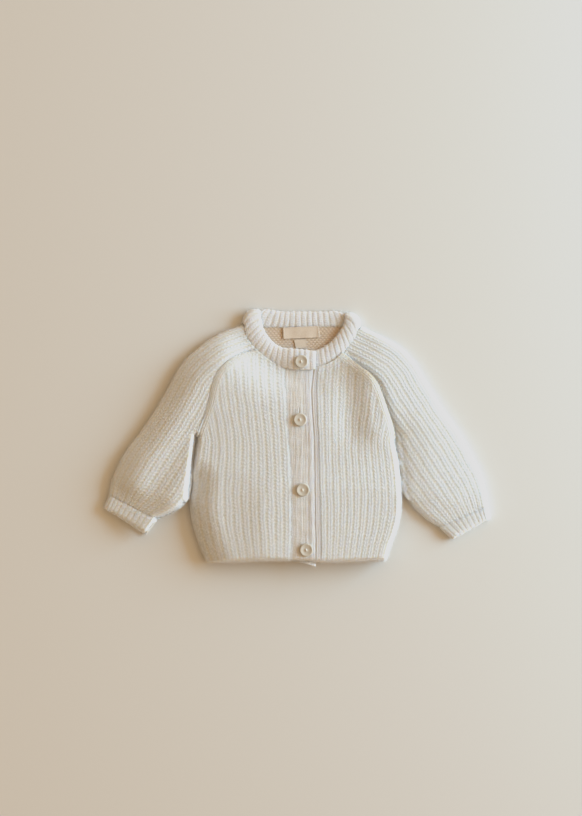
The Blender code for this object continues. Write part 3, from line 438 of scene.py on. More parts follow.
# The label's stitches: their number at each end, the two places along it, half the length
# of one as a share of the label's width, their height and their thread's radius.
END_STITCHES = 6
STITCH_PLACES = (0.035, 0.965)
STITCH_HALF = 0.052
STITCH_HEIGHT = 4.85
STITCH_RADIUS = 0.17
# The radius of the thread on the buttons.
THREAD_RADIUS = 0.36


# ---- the height of the upper layer


def free_edge(stations, below=FREE_BELOW):
    """The part of a sleeve's inner edge that is free of the body."""
    return stations[stations[:, 3] < below][:, 2:]


outline = [side_right, side_left, hem_edge]
for stations, cuff_end in ((sleeve_right, CUFF_END_RIGHT), (sleeve_left, CUFF_END_LEFT)):
    outline += [stations[:, :2], free_edge(stations), np.array(cuff_end).reshape(2, 2)]

# The height of the upper layer's inside is worked out once, on a coarse map in plan.
MAP_STEP = 2.0
map_x = np.arange(-232.0, 234.0, MAP_STEP)
map_y = np.arange(-154.0, 156.0, MAP_STEP)
map_points = np.stack(np.meshgrid(map_x, map_y), axis=-1)
from_outline = distance(map_points, outline)
rounded = quarter_round(from_outline / LIFT_REACH)
slack_side = side_right[side_right[:, 1] < SLACK_SIDE_BELOW]
full = np.minimum(rounded, sine_rise(distance(map_points, [slack_side]) / SLACK_SIDE_RIGHT))
lift_map = LIFT * full + PUFF * sine_rise(from_outline / PUFF_REACH)
for start, end, low_y, high_y, rise in RAMPS:
    up = smooth(map_points[..., 0], start, end)
    lift_map += rise * full * up * (1 - smooth(map_points[..., 1], low_y, high_y))
for x1, y1, x2, y2, half_width, rise in FOLDS:
    from_fold = distance(map_points, [np.array([(x1, y1), (x2, y2)])])
    lift_map += rise * full * bell(from_fold, half_width)


def sleeve_chart(stations, rises, cuff_rises):
    """The heights of a sleeve's upper layer, from its outer fold inwards."""
    from_fold = distance(map_points, [stations[:, :2]])
    chart = np.zeros(from_fold.shape)
    for step in SOFT_STEPS:
        shifted = from_fold + step * np.clip(from_fold / SOFT_FROM, 0, 1)
        chart += 1 / len(SOFT_STEPS) * np.interp(shifted, *zip(*rises))
    cuff = stations[0].reshape(2, 2)
    width = np.linalg.norm(cuff[1] - cuff[0])
    along = (cuff[1] - cuff[0]) / width
    upward = stations[1, :2] - stations[0, :2]
    upward = upward - (upward @ along) * along
    upward /= np.linalg.norm(upward)
    share = np.clip((map_points - cuff[0]) @ along / width, 0, 1)
    at_cuff = cuff_rises[0] + (cuff_rises[1] - cuff_rises[0]) * share
    above_cuff = np.maximum((map_points - cuff[0]) @ upward, 0.0)
    near = bell(above_cuff, CUFF_REACH)
    chart += near * (at_cuff - chart)
    return chart * np.where(from_fold < SOFT_FROM, np.maximum(rounded, 1 - near), rounded)


right_sleeve_map = sleeve_chart(sleeve_right, RIGHT_SLEEVE_RISE, CUFF_RISE_RIGHT)
left_sleeve_map = sleeve_chart(sleeve_left, LEFT_SLEEVE_RISE, CUFF_RISE_LEFT)
beside_sleeve = (side_left[:, 1] > -80.0) & (side_left[:, 1] < 0.0)
inside_left = [free_edge(sleeve_left, -66.0), side_left[beside_sleeve]]
left_sleeve_map *= 0.1 + 0.9 * sine_rise(distance(map_points, inside_left) / LEFT_SLEEVE_SLACK)
by_neck = distance(map_points, [collar_right[:, :2], collar_left[:, :2]])
for chart in (lift_map, right_sleeve_map, left_sleeve_map):
    chart *= 1 - NECK_SINK * bell(by_neck, NECK_REACH)
    np.clip(chart, 0.0, LIFT_MOST, out=chart)


def lift(points, chart=lift_map):
    """How far the upper layer's inside stands above its lowest place."""
    column = np.clip((points[..., 0] - map_x[0]) / MAP_STEP, 0, len(map_x) - 1.001)
    row = np.clip((points[..., 1] - map_y[0]) / MAP_STEP, 0, len(map_y) - 1.001)
    c, r = column.astype(int), row.astype(int)
    u, v = column - c, row - r
    low = chart[r, c] * (1 - u) + chart[r, c + 1] * u
    high = chart[r + 1, c] * (1 - u) + chart[r + 1, c + 1] * u
    return low * (1 - v) + high * v


# ---- the knitting

# How high the collar's and the cuffs' ribs stand out.
FINE_RELIEF = 0.4


def chunky_rib(wale, row, relief=1.0):
    """Height in mm and paleness of a half-fisherman's rib. The paleness is painted light and shade: pale
    on the crowns and strands, darker in the valleys.

    wale counts ribs and row counts stitches. Each rib is a column of two plump strands, a
    V to each row, and purl bumps show in the valley between two ribs.
    """
    t = wale - np.floor(wale) - 0.5
    side = np.abs(t)
    crown = 1 - smooth(side, 0.24, 0.48)
    strand = bell(side - 0.2, 0.14)
    leg = wave(row - 2.2 * side)
    dot = wave(row - 0.2 - t)
    valley = 1 - crown
    height = 0.2 * crown + strand * (0.12 + 0.5 * leg) + 0.3 * valley * dot
    # Painted shade: the paleness falls in the valleys and between the legs, where the light is shaded.
    pale = 0.4 + 0.22 * crown + strand * (0.08 + 0.28 * leg) + 0.24 * valley * (dot - 0.5)
    return relief * (height - 0.4), np.clip(pale, 0, 1)


def plain_knit(wale, row, height):
    """Height in mm and paleness of stocking stitch: a V for each wale and row. The paleness is painted
    light and shade, pale on the legs of each V and darker between them.
    """
    t = wale - np.floor(wale) - 0.5
    side = np.abs(t)
    leg = wave(row - side * 1.3)
    body = np.cos(math.pi * np.clip((side - 0.22) / 0.56, -0.5, 0.5))
    return height * (body * (0.45 + 0.55 * leg) - 0.4), np.clip(0.35 + 0.5 * body * leg, 0, 1)


def fine_rib(wale, row):
    """Height in mm and paleness of the collar's and cuffs' close rib. The paleness is painted light and
    shade, pale on the crowns and darker between them.
    """
    t = wale - np.floor(wale) - 0.5
    side = np.abs(t)
    crown = 1 - smooth(side, 0.22, 0.5)
    leg = wave(row - side * 1.6)
    shape = FINE_RELIEF * (crown - 0.6) + 0.22 * (leg - 0.5) * crown
    return shape, np.clip(0.4 + 0.4 * crown + 0.2 * (leg - 0.5), 0, 1)


def streaks(x, y, size, seed):
    """Soft lines that run up and down a fine knit, mostly from -1 to 1."""
    random = np.random.default_rng(seed)
    total = np.zeros(np.broadcast(x, y).shape)
    for _ in range(7):
        rate = math.tau / (size * random.uniform(0.6, 2.2))
        bend = random.uniform(0.4, 1.2) * np.sin(y / random.uniform(7, 20) + random.uniform(0, 6))
        total = total + np.sin(rate * x + bend + random.uniform(0, math.tau))
    return total / 3.5


# ---- making objects


def ring_faces(rings, size):
    """The corners of the faces between each ring of points and the next."""
    number = np.arange(rings * size).reshape(rings, size)
    around = np.roll(number, -1, axis=1)
    corners = np.stack([number[:-1], around[:-1], around[1:], number[1:]], axis=-1)
    return corners.reshape(-1, 4).tolist()


def placed(name, data):
    """A new object in the scene."""
    made = bpy.data.objects.new(name, data)
    bpy.context.scene.collection.objects.link(made)
    return made


def build(name, points, faces, pale, uvs, material, node_names):
    """A mesh piece that rides on the root body and stands for any CAD nodes named."""
    mesh = bpy.data.meshes.new(name)
    flat = (np.asarray(points) - OUTLINE_MIDDLE) * MM
    mesh.from_pydata(flat.tolist(), [], faces)
    # pale is painted light and shade: the wool's colour turns darker and warmer where it is low.
    shade = mesh.attributes.new("pale", "FLOAT", "POINT")
    shade.data.foreach_set("value", np.asarray(pale, np.float32))
    layer = mesh.uv_layers.new(name="OFBake")
    corners = np.zeros(len(mesh.loops), np.int32)
    mesh.loops.foreach_get("vertex_index", corners)
    layer.data.foreach_set("uv", np.asarray(uvs, np.float32)[corners].ravel())
    mesh.polygons.foreach_set("use_smooth", np.ones(len(mesh.polygons), bool))
    mesh.materials.append(material)
    mesh.update()
    made = placed(name, mesh)
    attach(made, "root")
    if node_names:
        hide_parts(*node_names)


def shell(name, outer, inner, pale, material, node_names, coarse=8):
    """A closed shell: a fine outer grid, and an inner grid that keeps only every few lines."""
    rows, columns = outer.shape[:2]
    top = np.arange(rows * columns).reshape(rows, columns)
    under = top + rows * columns
    middle = outer[rows // 2, columns // 2]
    down = outer[rows // 2 + 1, columns // 2] - middle
    beside = outer[rows // 2, columns // 2 + 1] - middle
    faces_up = np.cross(beside, down)[2] >= 0
    faces = np.stack([top[:-1, :-1], top[:-1, 1:], top[1:, 1:], top[1:, :-1]], axis=-1)
    faces = faces.reshape(-1, 4).tolist()
    rim = np.concatenate([top[0, :-1], top[:-1, -1], top[-1, :0:-1], top[:0:-1, 0]])
    following = np.roll(rim, -1)
    sides = np.stack([following, rim, rim + rows * columns, following + rows * columns], axis=-1)
    faces += sides.tolist()
    row_marks = sorted({*range(0, rows, coarse), rows - 1})
    column_marks = sorted({*range(0, columns, coarse), columns - 1})
    for r0, r1 in zip(row_marks, row_marks[1:]):
        for c0, c1 in zip(column_marks, column_marks[1:]):
            bottom = range(c0, c1) if r0 == 0 else (c0,)
            right = range(r0, r1) if c1 == columns - 1 else (r0,)
            upper = range(c1, c0, -1) if r1 == rows - 1 else (c1,)
            left = range(r1, r0, -1) if c0 == 0 else (r1,)
            around = [(r0, c) for c in bottom] + [(r, c1) for r in right]
            around += [(r1, c) for c in upper] + [(r, c0) for r in left]
            faces.append([int(under[r, c]) for r, c in around[::-1]])
    points = np.vstack([outer.reshape(-1, 3), inner.reshape(-1, 3)])
    # The outer grid's texture takes three quarters of the square, and the inner one's the rest.
    u, v = np.meshgrid(np.linspace(0.002, 0.998, columns), np.linspace(0.002, 0.748, rows))
    over_uv = np.column_stack([u.ravel(), v.ravel()])
    under_uv = np.column_stack([u.ravel(), 0.752 + (v.ravel() - 0.002) * 0.33])
    uvs = np.vstack([over_uv, under_uv])
    shades = np.concatenate([pale.ravel(), np.full(rows * columns, 0.5)])
    used = np.zeros(len(points), bool)
    used[: rows * columns] = True
    for face in faces:
        used[face] = True
    renumber = np.cumsum(used) - 1
    order = 1 if faces_up else -1
    faces = [[int(renumber[corner]) for corner in face[::order]] for face in faces]
    build(name, points[used], faces, shades[used], uvs[used], material, node_names)


def raised(plan, heights):
    """A grid in plan with its heights."""
    return np.dstack([plan, np.broadcast_to(heights, plan.shape[:-1])])


def fuzz(name, surface, seed, fibre_lengths=FUZZ_LENGTHS):
    """Loose fibres that stand out of a knitted surface, as fine tapering ribbons."""
    random = np.random.default_rng(seed)
    down = surface[1:, :-1] - surface[:-1, :-1]
    beside = surface[:-1, 1:] - surface[:-1, :-1]
    normal = np.cross(beside, down)
    area = np.linalg.norm(normal, axis=-1)
    count = int(area.sum() / 100.0 * FUZZ_PER_CM2)
    normal = normal / np.maximum(area, 1e-9)[..., None] * np.sign(normal[..., 2].sum())
    steep = 1 - normal[..., 2]
    spread = (area * (1 + 4 * steep)).ravel()
    spread /= spread.sum()
    picked = random.choice(spread.size, size=count, p=spread)
    r, c = np.unravel_index(picked, area.shape)
    u, v = random.random((2, count, 1))
    base = surface[r, c] + u * beside[r, c] + v * down[r, c]
    up = normal[r, c]
    lean = random.normal(size=(count, 3))
    lean = unit(lean - (lean * up).sum(1, keepdims=True) * up)
    rise = random.uniform(0.1, 0.8, (count, 1)) * (1 + 1.5 * steep[r, c][:, None])
    first = unit(up * rise + lean)
    second = unit(first + 0.9 * random.normal(size=(count, 3)) - 0.25 * up)
    length = random.uniform(*fibre_lengths, (count, 1)) * random.random((count, 1)) ** 0.3
    across_fibre = unit(np.cross(first, random.normal(size=(count, 3))))
    across_fibre *= FIBRE_WIDTH / 2 * random.uniform(0.5, 1.3, (count, 1))
    middle = base + 0.5 * length * first
    tip = middle + 0.5 * length * second
    pairs = [base - across_fibre, base + across_fibre, middle - across_fibre, middle + across_fibre]
    points = np.stack([*pairs, tip], axis=1)
    points[..., 2] = np.maximum(points[..., 2], FIBRE_LOWEST)
    first_point = np.arange(count)[:, None] * 5
    quads = (first_point + np.array([0, 1, 3, 2])).tolist()
    tips = (first_point + np.array([2, 3, 4])).tolist()
    flat = points.reshape(-1, 3)
    uvs = np.random.default_rng(seed).random((len(flat), 2))
    build(name, flat, quads + tips, np.ones(len(flat)), uvs, fuzz_wool, [])


def knitted(name, plan, floor, outer, pale, wool, nodes, seed, fibre_lengths, first=0):
    """A panel's shell, and its fuzz from the grid line called first."""
    surface = raised(plan, outer)
    shell("knit_" + name, surface, raised(plan, floor), pale, wool, nodes)
    fuzz("fuzz_" + name, surface[:, first:], seed, fibre_lengths)


# ---- materials


def add_node(tree, kind, settings=None, feeds=None):
    """A shader node with some of its inputs set, and some fed by other nodes' outputs."""
    made = tree.nodes.new("ShaderNode" + kind)
    for place, value in (settings or {}).items():
        made.inputs[place].default_value = value
    for place, output in (feeds or {}).items():
        tree.links.new(output, made.inputs[place])
    return made


def new_material(name, settings):
    """A material, its tree and its shader, with the shader's inputs set."""
    material = bpy.data.materials.new(name)
    material.use_nodes = True
    shader = material.node_tree.nodes["Principled BSDF"]
    for place, value in settings.items():
        shader.inputs[place].default_value = value
    return material, material.node_tree, shader


def ramp(tree, source, first, last, between=()):
    """The colours that stand for a source's values, from stops of (value, colour)."""
    made = add_node(tree, "ValToRGB", {}, {"Fac": source})
    elements = made.color_ramp.elements
    for element, (value, colour) in zip((elements[0], elements[1]), (first, last)):
        element.position = value
        element.color = (*colour, 1.0)
    for value, colour in between:
        elements.new(value).color = (*colour, 1.0)
    return made.outputs["Color"]


def set_bump(tree, shader, height, strength, depth):
    """Fine relief that follows a value, depth metres deep."""
    bump = add_node(tree, "Bump", {"Strength": strength, "Distance": depth}, {"Height": height})
    tree.links.new(bump.outputs["Normal"], shader.inputs["Normal"])


def knit_material(name, high, low, bump_depth=0.0004):
    """Wool with a fibrous grain, coloured by painted light and shade: pale on the stitches, darker and
    warmer in the valleys.
    """
    wool = {
        "Roughness": 0.95,
        "Specular IOR Level": 0.15,
        "Sheen Weight": 0.4,
        "Sheen Roughness": 0.6,
        "Subsurface Weight": 1.0,
        "Subsurface Radius": (1.0, 0.85, 0.7),
        "Subsurface Scale": 0.004,
    }
    material, tree, shader = new_material(name, wool)
    place = add_node(tree, "TexCoord").outputs["Object"]
    pale = add_node(tree, "Attribute")
    pale.attribute_name = "pale"
    patch = add_node(tree, "TexNoise", {"Scale": 240.0, "Detail": 4.0}, {"Vector": place})
    grain = {"Scale": 1400.0, "Detail": 6.0, "Roughness": 0.7}
    fibre = add_node(tree, "TexNoise", grain, {"Vector": place})
    shift = add_node(tree, "Math", {1: 0.35, 2: -0.175}, {0: patch.outputs["Fac"]})
    shift.operation = "MULTIPLY_ADD"
    add = add_node(tree, "Math", {}, {0: pale.outputs["Fac"], 1: shift.outputs[0]})
    add.operation = "ADD"
    add.use_clamp = True
    # The valley colour and the low one are painted shade: a darker, warmer wool for the hollows between
    # stitches.
    valley = (0.84 * low[0], 0.79 * low[1], 0.71 * low[2])
    colour = ramp(tree, add.outputs[0], (0.0, valley), (0.85, high), [(0.3, low)])
    tree.links.new(colour, shader.inputs["Base Color"])
    set_bump(tree, shader, fibre.outputs["Fac"], 0.8, bump_depth)
    return material


def dyed_material(name, high, low, settings, scale, detail=3.0, stretch=None):
    """A material whose colour wanders between two, and the place that its textures use."""
    material, tree, shader = new_material(name, settings)
    place = add_node(tree, "TexCoord").outputs["Object"]
    vector = place
    if stretch:
        vector = add_node(tree, "Mapping", {"Scale": stretch}, {"Vector": place}).outputs["Vector"]
    noise = add_node(tree, "TexNoise", {"Scale": scale, "Detail": detail}, {"Vector": vector})
    colour = ramp(tree, noise.outputs["Fac"], (0.3, low), (0.7, high))
    tree.links.new(colour, shader.inputs["Base Color"])
    return material, tree, shader, place


def fibre_material(name, high, low, roughness):
    """Single fibres and thread: a dye that varies along them, and a fine grain."""
    settings = {"Roughness": roughness, "Specular IOR Level": 0.15}
    material, tree, shader, place = dyed_material(name, high, low, settings, 700.0)
    grain = add_node(tree, "TexNoise", {"Scale": 3000.0}, {"Vector": place})
    set_bump(tree, shader, grain.outputs["Fac"], 0.3, 0.00005)
    return material


def woven_material(name, high, low):
    """Satin tape: a fine weave in two directions and a little variation in its dye."""
    settings = {"Roughness": 0.62, "Sheen Weight": 0.2}
    material, tree, shader, place = dyed_material(name, high, low, settings, 900.0, 4.0)
    waves = []
    for direction in ("X", "Y"):
        wave = add_node(tree, "TexWave", {"Scale": 620.0, "Distortion": 0.6}, {"Vector": place})
        wave.bands_direction = direction
        waves.append(wave.outputs["Fac"])
    weave = add_node(tree, "Math", {}, {0: waves[0], 1: waves[1]})
    weave.operation = "ADD"
    set_bump(tree, shader, weave.outputs[0], 0.5, 0.00015)
    return material


# Each knit's first colour is for its crowns, and the second is the painted shade of its valleys.
cream = knit_material("cream_knit", (0.695, 0.73, 0.77), (0.68, 0.668, 0.60))
# A darker, warmer copy of the cream wool: painted shade for the back's inside, seen in the shade under the
# neck.
shaded_inside_wool = knit_material("shaded_inside_knit", (0.665, 0.575, 0.472), (0.605, 0.495, 0.39))
collar_wool = knit_material("collar_knit", (0.70, 0.715, 0.75), (0.68, 0.655, 0.60), 0.0003)
band_wool = knit_material("band_knit", (0.685, 0.695, 0.725), (0.645, 0.605, 0.54), 0.0003)
fuzz_wool = fibre_material("fuzz_knit", (0.87, 0.87, 0.88), (0.80, 0.81, 0.83), 0.9)
GLOSS = {"Roughness": 0.28, "Coat Weight": 0.35, "Coat Roughness": 0.2}
CLOUDS = (1.0, 0.35, 1.0)
shell_gloss = dyed_material(
    "shell_button", (0.59, 0.56, 0.50), (0.47, 0.43, 0.36), GLOSS, 260.0, stretch=CLOUDS
)[0]
thread = fibre_material("cream_thread", (0.87, 0.86, 0.84), (0.80, 0.78, 0.74), 0.6)
peach = woven_material("peach_tape", (0.68, 0.585, 0.475), (0.62, 0.515, 0.41))
MATT = {"Roughness": 0.9, "Specular IOR Level": 0.1}
paper = dyed_material("floor_paper", (0.653, 0.643, 0.618), (0.649, 0.639, 0.614), MATT, 420.0)[0]


# ---- the body's panels


def body_paths(seam, side, shares, top):
    """One path in plan for each share of the way from seam to side, up to y = top."""
    y = np.linspace(PATHS_FROM, top, PATH_POINTS)
    inner = across(seam, y)
    outer = across(side, y)
    kernel = np.ones(2 * SOFTENED + 1) / (2 * SOFTENED + 1)
    softer = np.convolve(np.pad(outer, SOFTENED, "edge"), kernel, "valid")
    paths = []
    for share in shares:
        bound = softer + (outer - softer) * share**4
        paths.append(np.column_stack([inner + share * (bound - inner), y]))
    return paths


def above(path, bottom):
    """The part of a path that lies above the line that it crosses at its bottom."""
    return trimmed(path[::-1], [bottom])[::-1]


def panel_grid(seam, side, shares, top, bottom, fences, step=FINE):
    """Points of a panel and how far each is along its wale, with equal rows in each wale."""
    paths = body_paths(seam, side, shares, top)
    paths = [trimmed(above(path, bottom), fences) for path in paths]
    rows = int(max(lengths(path).sum() for path in paths) / step)
    steps = np.linspace(0, 1, rows)
    columns = [resampled(path, steps) for path in paths]
    plan = np.stack([points for points, _ in columns], axis=1)
    return plan, steps[:, None] * np.array([length for _, length in columns])[None, :]


def front(side_name, seam, side, wales, raglan, neck, turn):
    """A front with its hem. turn is +1 on the wearer's left and -1 on the right."""
    shares = np.linspace(0, 1, BODY_RIBS * RIB_LINES + 1)
    seam = seam + np.array([turn * SEAM_GAP, 0.0])
    fences = [offset(raglan, turn * SEAM_GAP), neck]
    plan, along = panel_grid(seam, wales, shares, 130.0, hem_edge, fences)
    x, y = plan[..., 0], plan[..., 1]
    wale = shares[None, :] * BODY_RIBS + 0.04 * wander(x, y, 26.0, 11)
    row = along / ROW_PITCH + 0.08 * wander(x, y, 18.0, 12)
    relief = 0.72 + 0.28 * smooth(y, HEM_TOP - 4.0, HEM_TOP + 6.0)
    height, pale = chunky_rib(wale, row, relief)
    by_seam, seam_place = nearest(plan, raglan)
    edge_height, edge_pale = plain_knit(by_seam / EDGE_WALE, seam_place / ROW_PITCH, 0.8)
    blend = 1 - smooth(by_seam, EDGE_FROM, EDGE_TO)
    height = height * (1 - blend) + (edge_height + 0.15) * blend
    pale = pale * (1 - blend) + edge_pale * blend
    round_over = rounding(plan, [([side], 7.0, 0.0), ([hem_edge], 3.0, 0.2)])
    # Painted shade: the knitting darkens within a few millimetres of the raglan, the neck and the band's
    # seam.
    pale = pale * (0.75 + 0.25 * smooth(distance(plan, [raglan, neck, seam]), 0.0, 2.6))
    floor = UPPER_FLOOR + lift(plan) - dip(plan, [side], 0.42, 2.0)
    relief = RELIEF * height * (0.4 + 0.6 * round_over)
    outer = floor + LIP + (UPPER_WALL - LIP) * round_over + relief
    outer = outer - dip(plan, [raglan], 0.8, 3.0) - dip(plan, [seam], 0.3, 1.2)
    outer = np.maximum(outer, floor + 0.3)
    name = "front_" + side_name
    nodes = [name, "hem_" + name]
    knitted(name, plan, floor, outer, pale, cream, nodes, 51 + turn, FUZZ_LENGTHS)


# ---- the sleeves and cuffs


def reach(starts, ends, fences):
    """The share of each straight run from start to end that comes before the first fence."""
    steps = ends - starts
    share = np.ones(len(starts))
    for fence in fences:
        on_run, on_fence = crossings(starts, steps, fence)
        hit = (on_run >= 0) & (on_fence >= 0) & (on_fence <= 1)
        share = np.minimum(share, np.where(hit, on_run, 1.0).min(1))
    return share


def rolled(node, stations, fences, closing, wall, edges, knit, step):
    """A sleeve or cuff: one wall rolled round its outer fold, with a seam at its inner side.

    Each row of the grid runs across it, from the outer fold to where the first fence is met.
    A sleeve's last rows turn until the last of them lies along the neck's seam. closing is
    (lower neck seam, upper neck seam, lower raglan, upper raglan).
    """
    reached = so_far(stations[:, :2])
    last = reached[-1]
    if closing:
        last = lengths(trimmed(stations[:, :2], [closing[1]])).sum()
    marks = np.linspace(0, last, int(last / step))
    rows = rows_at(marks, reached, stations)
    outer_edge, inner_edge = rows[:, :2], rows[:, 2:]
    width = np.linalg.norm(inner_edge - outer_edge, axis=1)
    turning = np.zeros(len(rows))
    ends, bulges = [], []
    sigma = np.linspace(0, 1, 41)
    for layer in (0, 1):
        share = reach(outer_edge, inner_edge, fences[layer])
        end = outer_edge + share[:, None] * (inner_edge - outer_edge)
        bulge = np.zeros((len(sigma), 2))
        if closing:
            turning = np.clip(1 - (last - marks) / TURNING, 0, 1)
            seam = trimmed(closing[layer][::-1], [stations[:, :2]])[::-1]
            seam = trimmed(seam, [closing[2 + layer]])
            seam = np.vstack([outer_edge[-1], seam[1:]])
            chord = seam[0] + sigma[:, None] * (seam[-1] - seam[0])
            bulge = resampled(seam, sigma)[0] - chord
            first = int(np.argmax(turning > 0))
            raglan = closing[2 + layer]
            raglan = raglan if raglan[0, 1] < raglan[-1, 1] else raglan[::-1]
            place = nearest(np.array([end[first], seam[-1]]), raglan)[1]
            at = place[0] + (place[1] - place[0]) * turning[first:]
            end[first:] = rows_at(at, so_far(raglan), raglan)
        ends.append(end)
        bulges.append(bulge)
    upper = np.linspace(0, 1, UPPER_COLUMNS + 1)[1:]
    lower = [[0.006, 0.018, 0.035], np.linspace(0.06, 0.94, 20), [0.97, 0.985, 1.0]]
    lower = np.concatenate(lower)[::-1]
    on_top = np.arange(len(upper) + len(lower) + 1) > len(lower)
    fold = np.arange(len(on_top)) == len(lower)
    spans = [np.linalg.norm(end - outer_edge, axis=1) for end in ends]

    def place_at(layer, far):
        """Points at a distance along each row of one layer."""
        part = far / np.maximum(spans[layer], 1e-6)[:, None]
        line = outer_edge[:, None] + part[..., None] * (ends[layer] - outer_edge)[:, None]
        curve = [np.interp(part, sigma, bulges[layer][:, axis]) for axis in (0, 1)]
        return line + (turning**2)[:, None, None] * np.stack(curve, axis=-1)

    def drawn(d):
        """The wall's inside, drawn away from the fold and kept within its row."""
        from_fold = FOLD_PULL * np.clip(1 - d / FOLD_PULL_REACH, 0, 1) ** 2
        return d + np.minimum(from_fold, 0.9 * (d.max(1, keepdims=True) - d))

    near = lower[None, :] * spans[0][:, None]
    far = upper[None, :] * spans[1][:, None]
    zero = np.zeros((len(rows), 1))
    plan = np.hstack([place_at(0, near), outer_edge[:, None], place_at(1, far)])
    fold_pull = np.minimum(FOLD_PULL, 0.9 * spans[1])[:, None]
    inside = np.hstack([place_at(0, drawn(near)), place_at(1, fold_pull), place_at(1, drawn(far))])
    distances = np.hstack([near, zero, far])
    # How far each point is along its wale, from the lengths of a few wales.
    samples = np.linspace(0, 1, 25)
    wales = place_at(1, samples[None, :] * width[:, None])
    grown = np.linalg.norm(np.diff(wales, axis=0), axis=2).cumsum(0)
    grown = np.vstack([np.zeros(len(samples)), grown])
    share = distances / width[:, None]
    along = np.stack([np.interp(share[k], samples, grown[k]) for k in range(len(rows))])
    outer_line = [stations[:, :2]]
    under = MIDDLE * (1 - rounding(plan, [(outer_line, 4.0, 0.0)] + edges["lower"]))
    risen = lift(inside, right_sleeve_map if node.endswith("right") else left_sleeve_map)
    for lines, depth, size in edges.get("hollows", []):
        risen = np.maximum(risen - dip(inside, lines, depth, size), 0.0)
    floor = UPPER_FLOOR + risen
    round_over = rounding(plan, [(outer_line, 6.0, 0.0)] + edges["upper"])
    x, y = plan[..., 0], plan[..., 1]
    ribs = np.array(SLEEVE_RIB_EDGES)
    wale = np.interp(share, ribs / ribs[-1], np.arange(len(ribs)))
    wale = wale + 0.05 * wander(x, y, 24.0, 21)
    row = along / ROW_PITCH + 0.1 * wander(x, y, 18.0, 22)
    height, pale = knit(wale, row)
    crisp = 0.4 * np.clip(distances / 2.0, 0, 1) + 0.6 * round_over
    over = MIDDLE + (floor - MIDDLE + wall) * round_over + RELIEF * height * crisp
    for lines, depth, size in edges.get("dips", []):
        over = over - dip(plan, lines, depth, size)
    over = np.maximum(over, MIDDLE + np.minimum(floor + 0.4 - MIDDLE, 0.5 * distances))
    outer = np.where(on_top[None, :], over, under)
    outer = np.where(fold[None, :], MIDDLE, outer)
    inner = np.where(on_top[None, :], floor, UNDER_TOP)
    inner = np.where(fold[None, :], MIDDLE, inner)
    pale = np.where(on_top[None, :], pale, 0.5)
    surface = raised(plan, outer)
    shell("knit_" + node, surface, raised(inside, inner), pale, cream, [node], 6)
    seen = surface[:, len(lower) - 6 :]
    seed = int(seen.size) % 1000
    fuzz("fuzz_" + node, seen, seed)


def nearest_first(line, shoulder):
    """A neck seam carried on round the roll of the collar at the shoulder's fold."""
    shoulder = np.array(shoulder)
    ends = np.linalg.norm(line[[0, -1]] - shoulder[-1], axis=1)
    return np.vstack([shoulder, line if ends[0] < ends[1] else line[::-1]])


def sleeve(
    side_name, turn, stations, cuff_end, side, raglan, back_raglan, shoulder, neck, back_neck, hollows
):
    """A sleeve and its cuff. turn is +1 on the wearer's left and -1 on the right."""
    by_body = offset(side[side[:, 1] > BESIDE_BODY_ABOVE], turn * -SEAM_GAP, reach=0.0)
    seam = offset(raglan, turn * -SEAM_GAP / 2)
    hidden_seam = offset(back_raglan, turn * -SEAM_GAP / 2)
    neck = nearest_first(neck, shoulder)
    back_neck = nearest_first(back_neck, shoulder)
    fences = ([by_body, hidden_seam], [by_body, seam])
    closing = (back_neck, neck, hidden_seam, seam)
    inner_line = free_edge(stations)
    cuff_line = stations[0].reshape(2, 2)
    edges = {
        "lower": [([inner_line, by_body], 3.5, 0.45)],
        "upper": [([inner_line, by_body], 8.0, 0.1)],
        "hollows": [([raglan], *hollows[0]), ([by_body], *hollows[1])],
        "dips": [([raglan], 1.0, 3.0), ([cuff_line], 0.7, 2.5)],
    }
    axis = stations[1] - stations[0]
    start = stations[0] + axis * (SEAM_GAP / 2) / np.linalg.norm(axis[:2])
    body = np.vstack([start, stations[1:]])
    rolled("sleeve_" + side_name, body, fences, closing, UPPER_WALL, edges, chunky_rib, FINE)
    end = np.array(cuff_end)
    top = stations[0] + (end - stations[0]) * SEAM_GAP / 2 / np.linalg.norm((end - stations[0])[:2])
    cuff = np.linspace(end, top, 9)
    end_line = cuff[0].reshape(2, 2)
    edges = {
        "lower": [([cuff[:, 2:]], 3.5, 0.45), ([end_line], 2.0, 0.3)],
        "upper": [([cuff[:, 2:]], 6.0, 0.1), ([end_line], 3.0, 0.5)],
        "dips": [([cuff_line], 0.7, 2.5)],
    }
    rolled("cuff_" + side_name, cuff, ([], []), None, CUFF_WALL, edges, fine_rib, 0.7)


# ---- the seam round the neck, the sleeves and the fronts

front_neck_right = offset(collar_right[:, :2], SEAM_GAP)
front_neck_left = offset(collar_left[:, :2], SEAM_GAP)
back_neck = offset(collar_back[:, :2], -SEAM_GAP, reach=0.0)


def part_of(line, column, low, high):
    """The rows of a line whose x or y, by column, lies between two numbers."""
    return line[(line[:, column] > low) & (line[:, column] < high)]


sleeve(
    "right", -1, sleeve_right, CUFF_END_RIGHT, side_right, raglan_right, back_raglan_right,
    SHOULDER_RIGHT, part_of(front_neck_right, 1, 0.0, 120.0), part_of(back_neck, 0, -56.0, -30.0),
    HOLLOWS_RIGHT,
)
sleeve(
    "left", 1, sleeve_left, CUFF_END_LEFT, side_left, raglan_left, back_raglan_left,
    SHOULDER_LEFT, part_of(front_neck_left, 1, 0.0, 116.0), part_of(back_neck, 0, 40.0, 66.0),
    HOLLOWS_LEFT,
)
front("right", band_seam_right, side_right, wales_right, raglan_right, front_neck_right, -1)
front("left", band_seam_left, side_left, wales_left, raglan_left, front_neck_left, 1)


# ---- the back

# The purl bumps on the back's inside: the height of a row, their width, and the y from
# which they begin to show and at which they show in full.
BUMP_ROW = 2.4
BUMP_WIDTH = 4.4
BUMPS_FROM, BUMPS_FULL = 84.0, 92.0


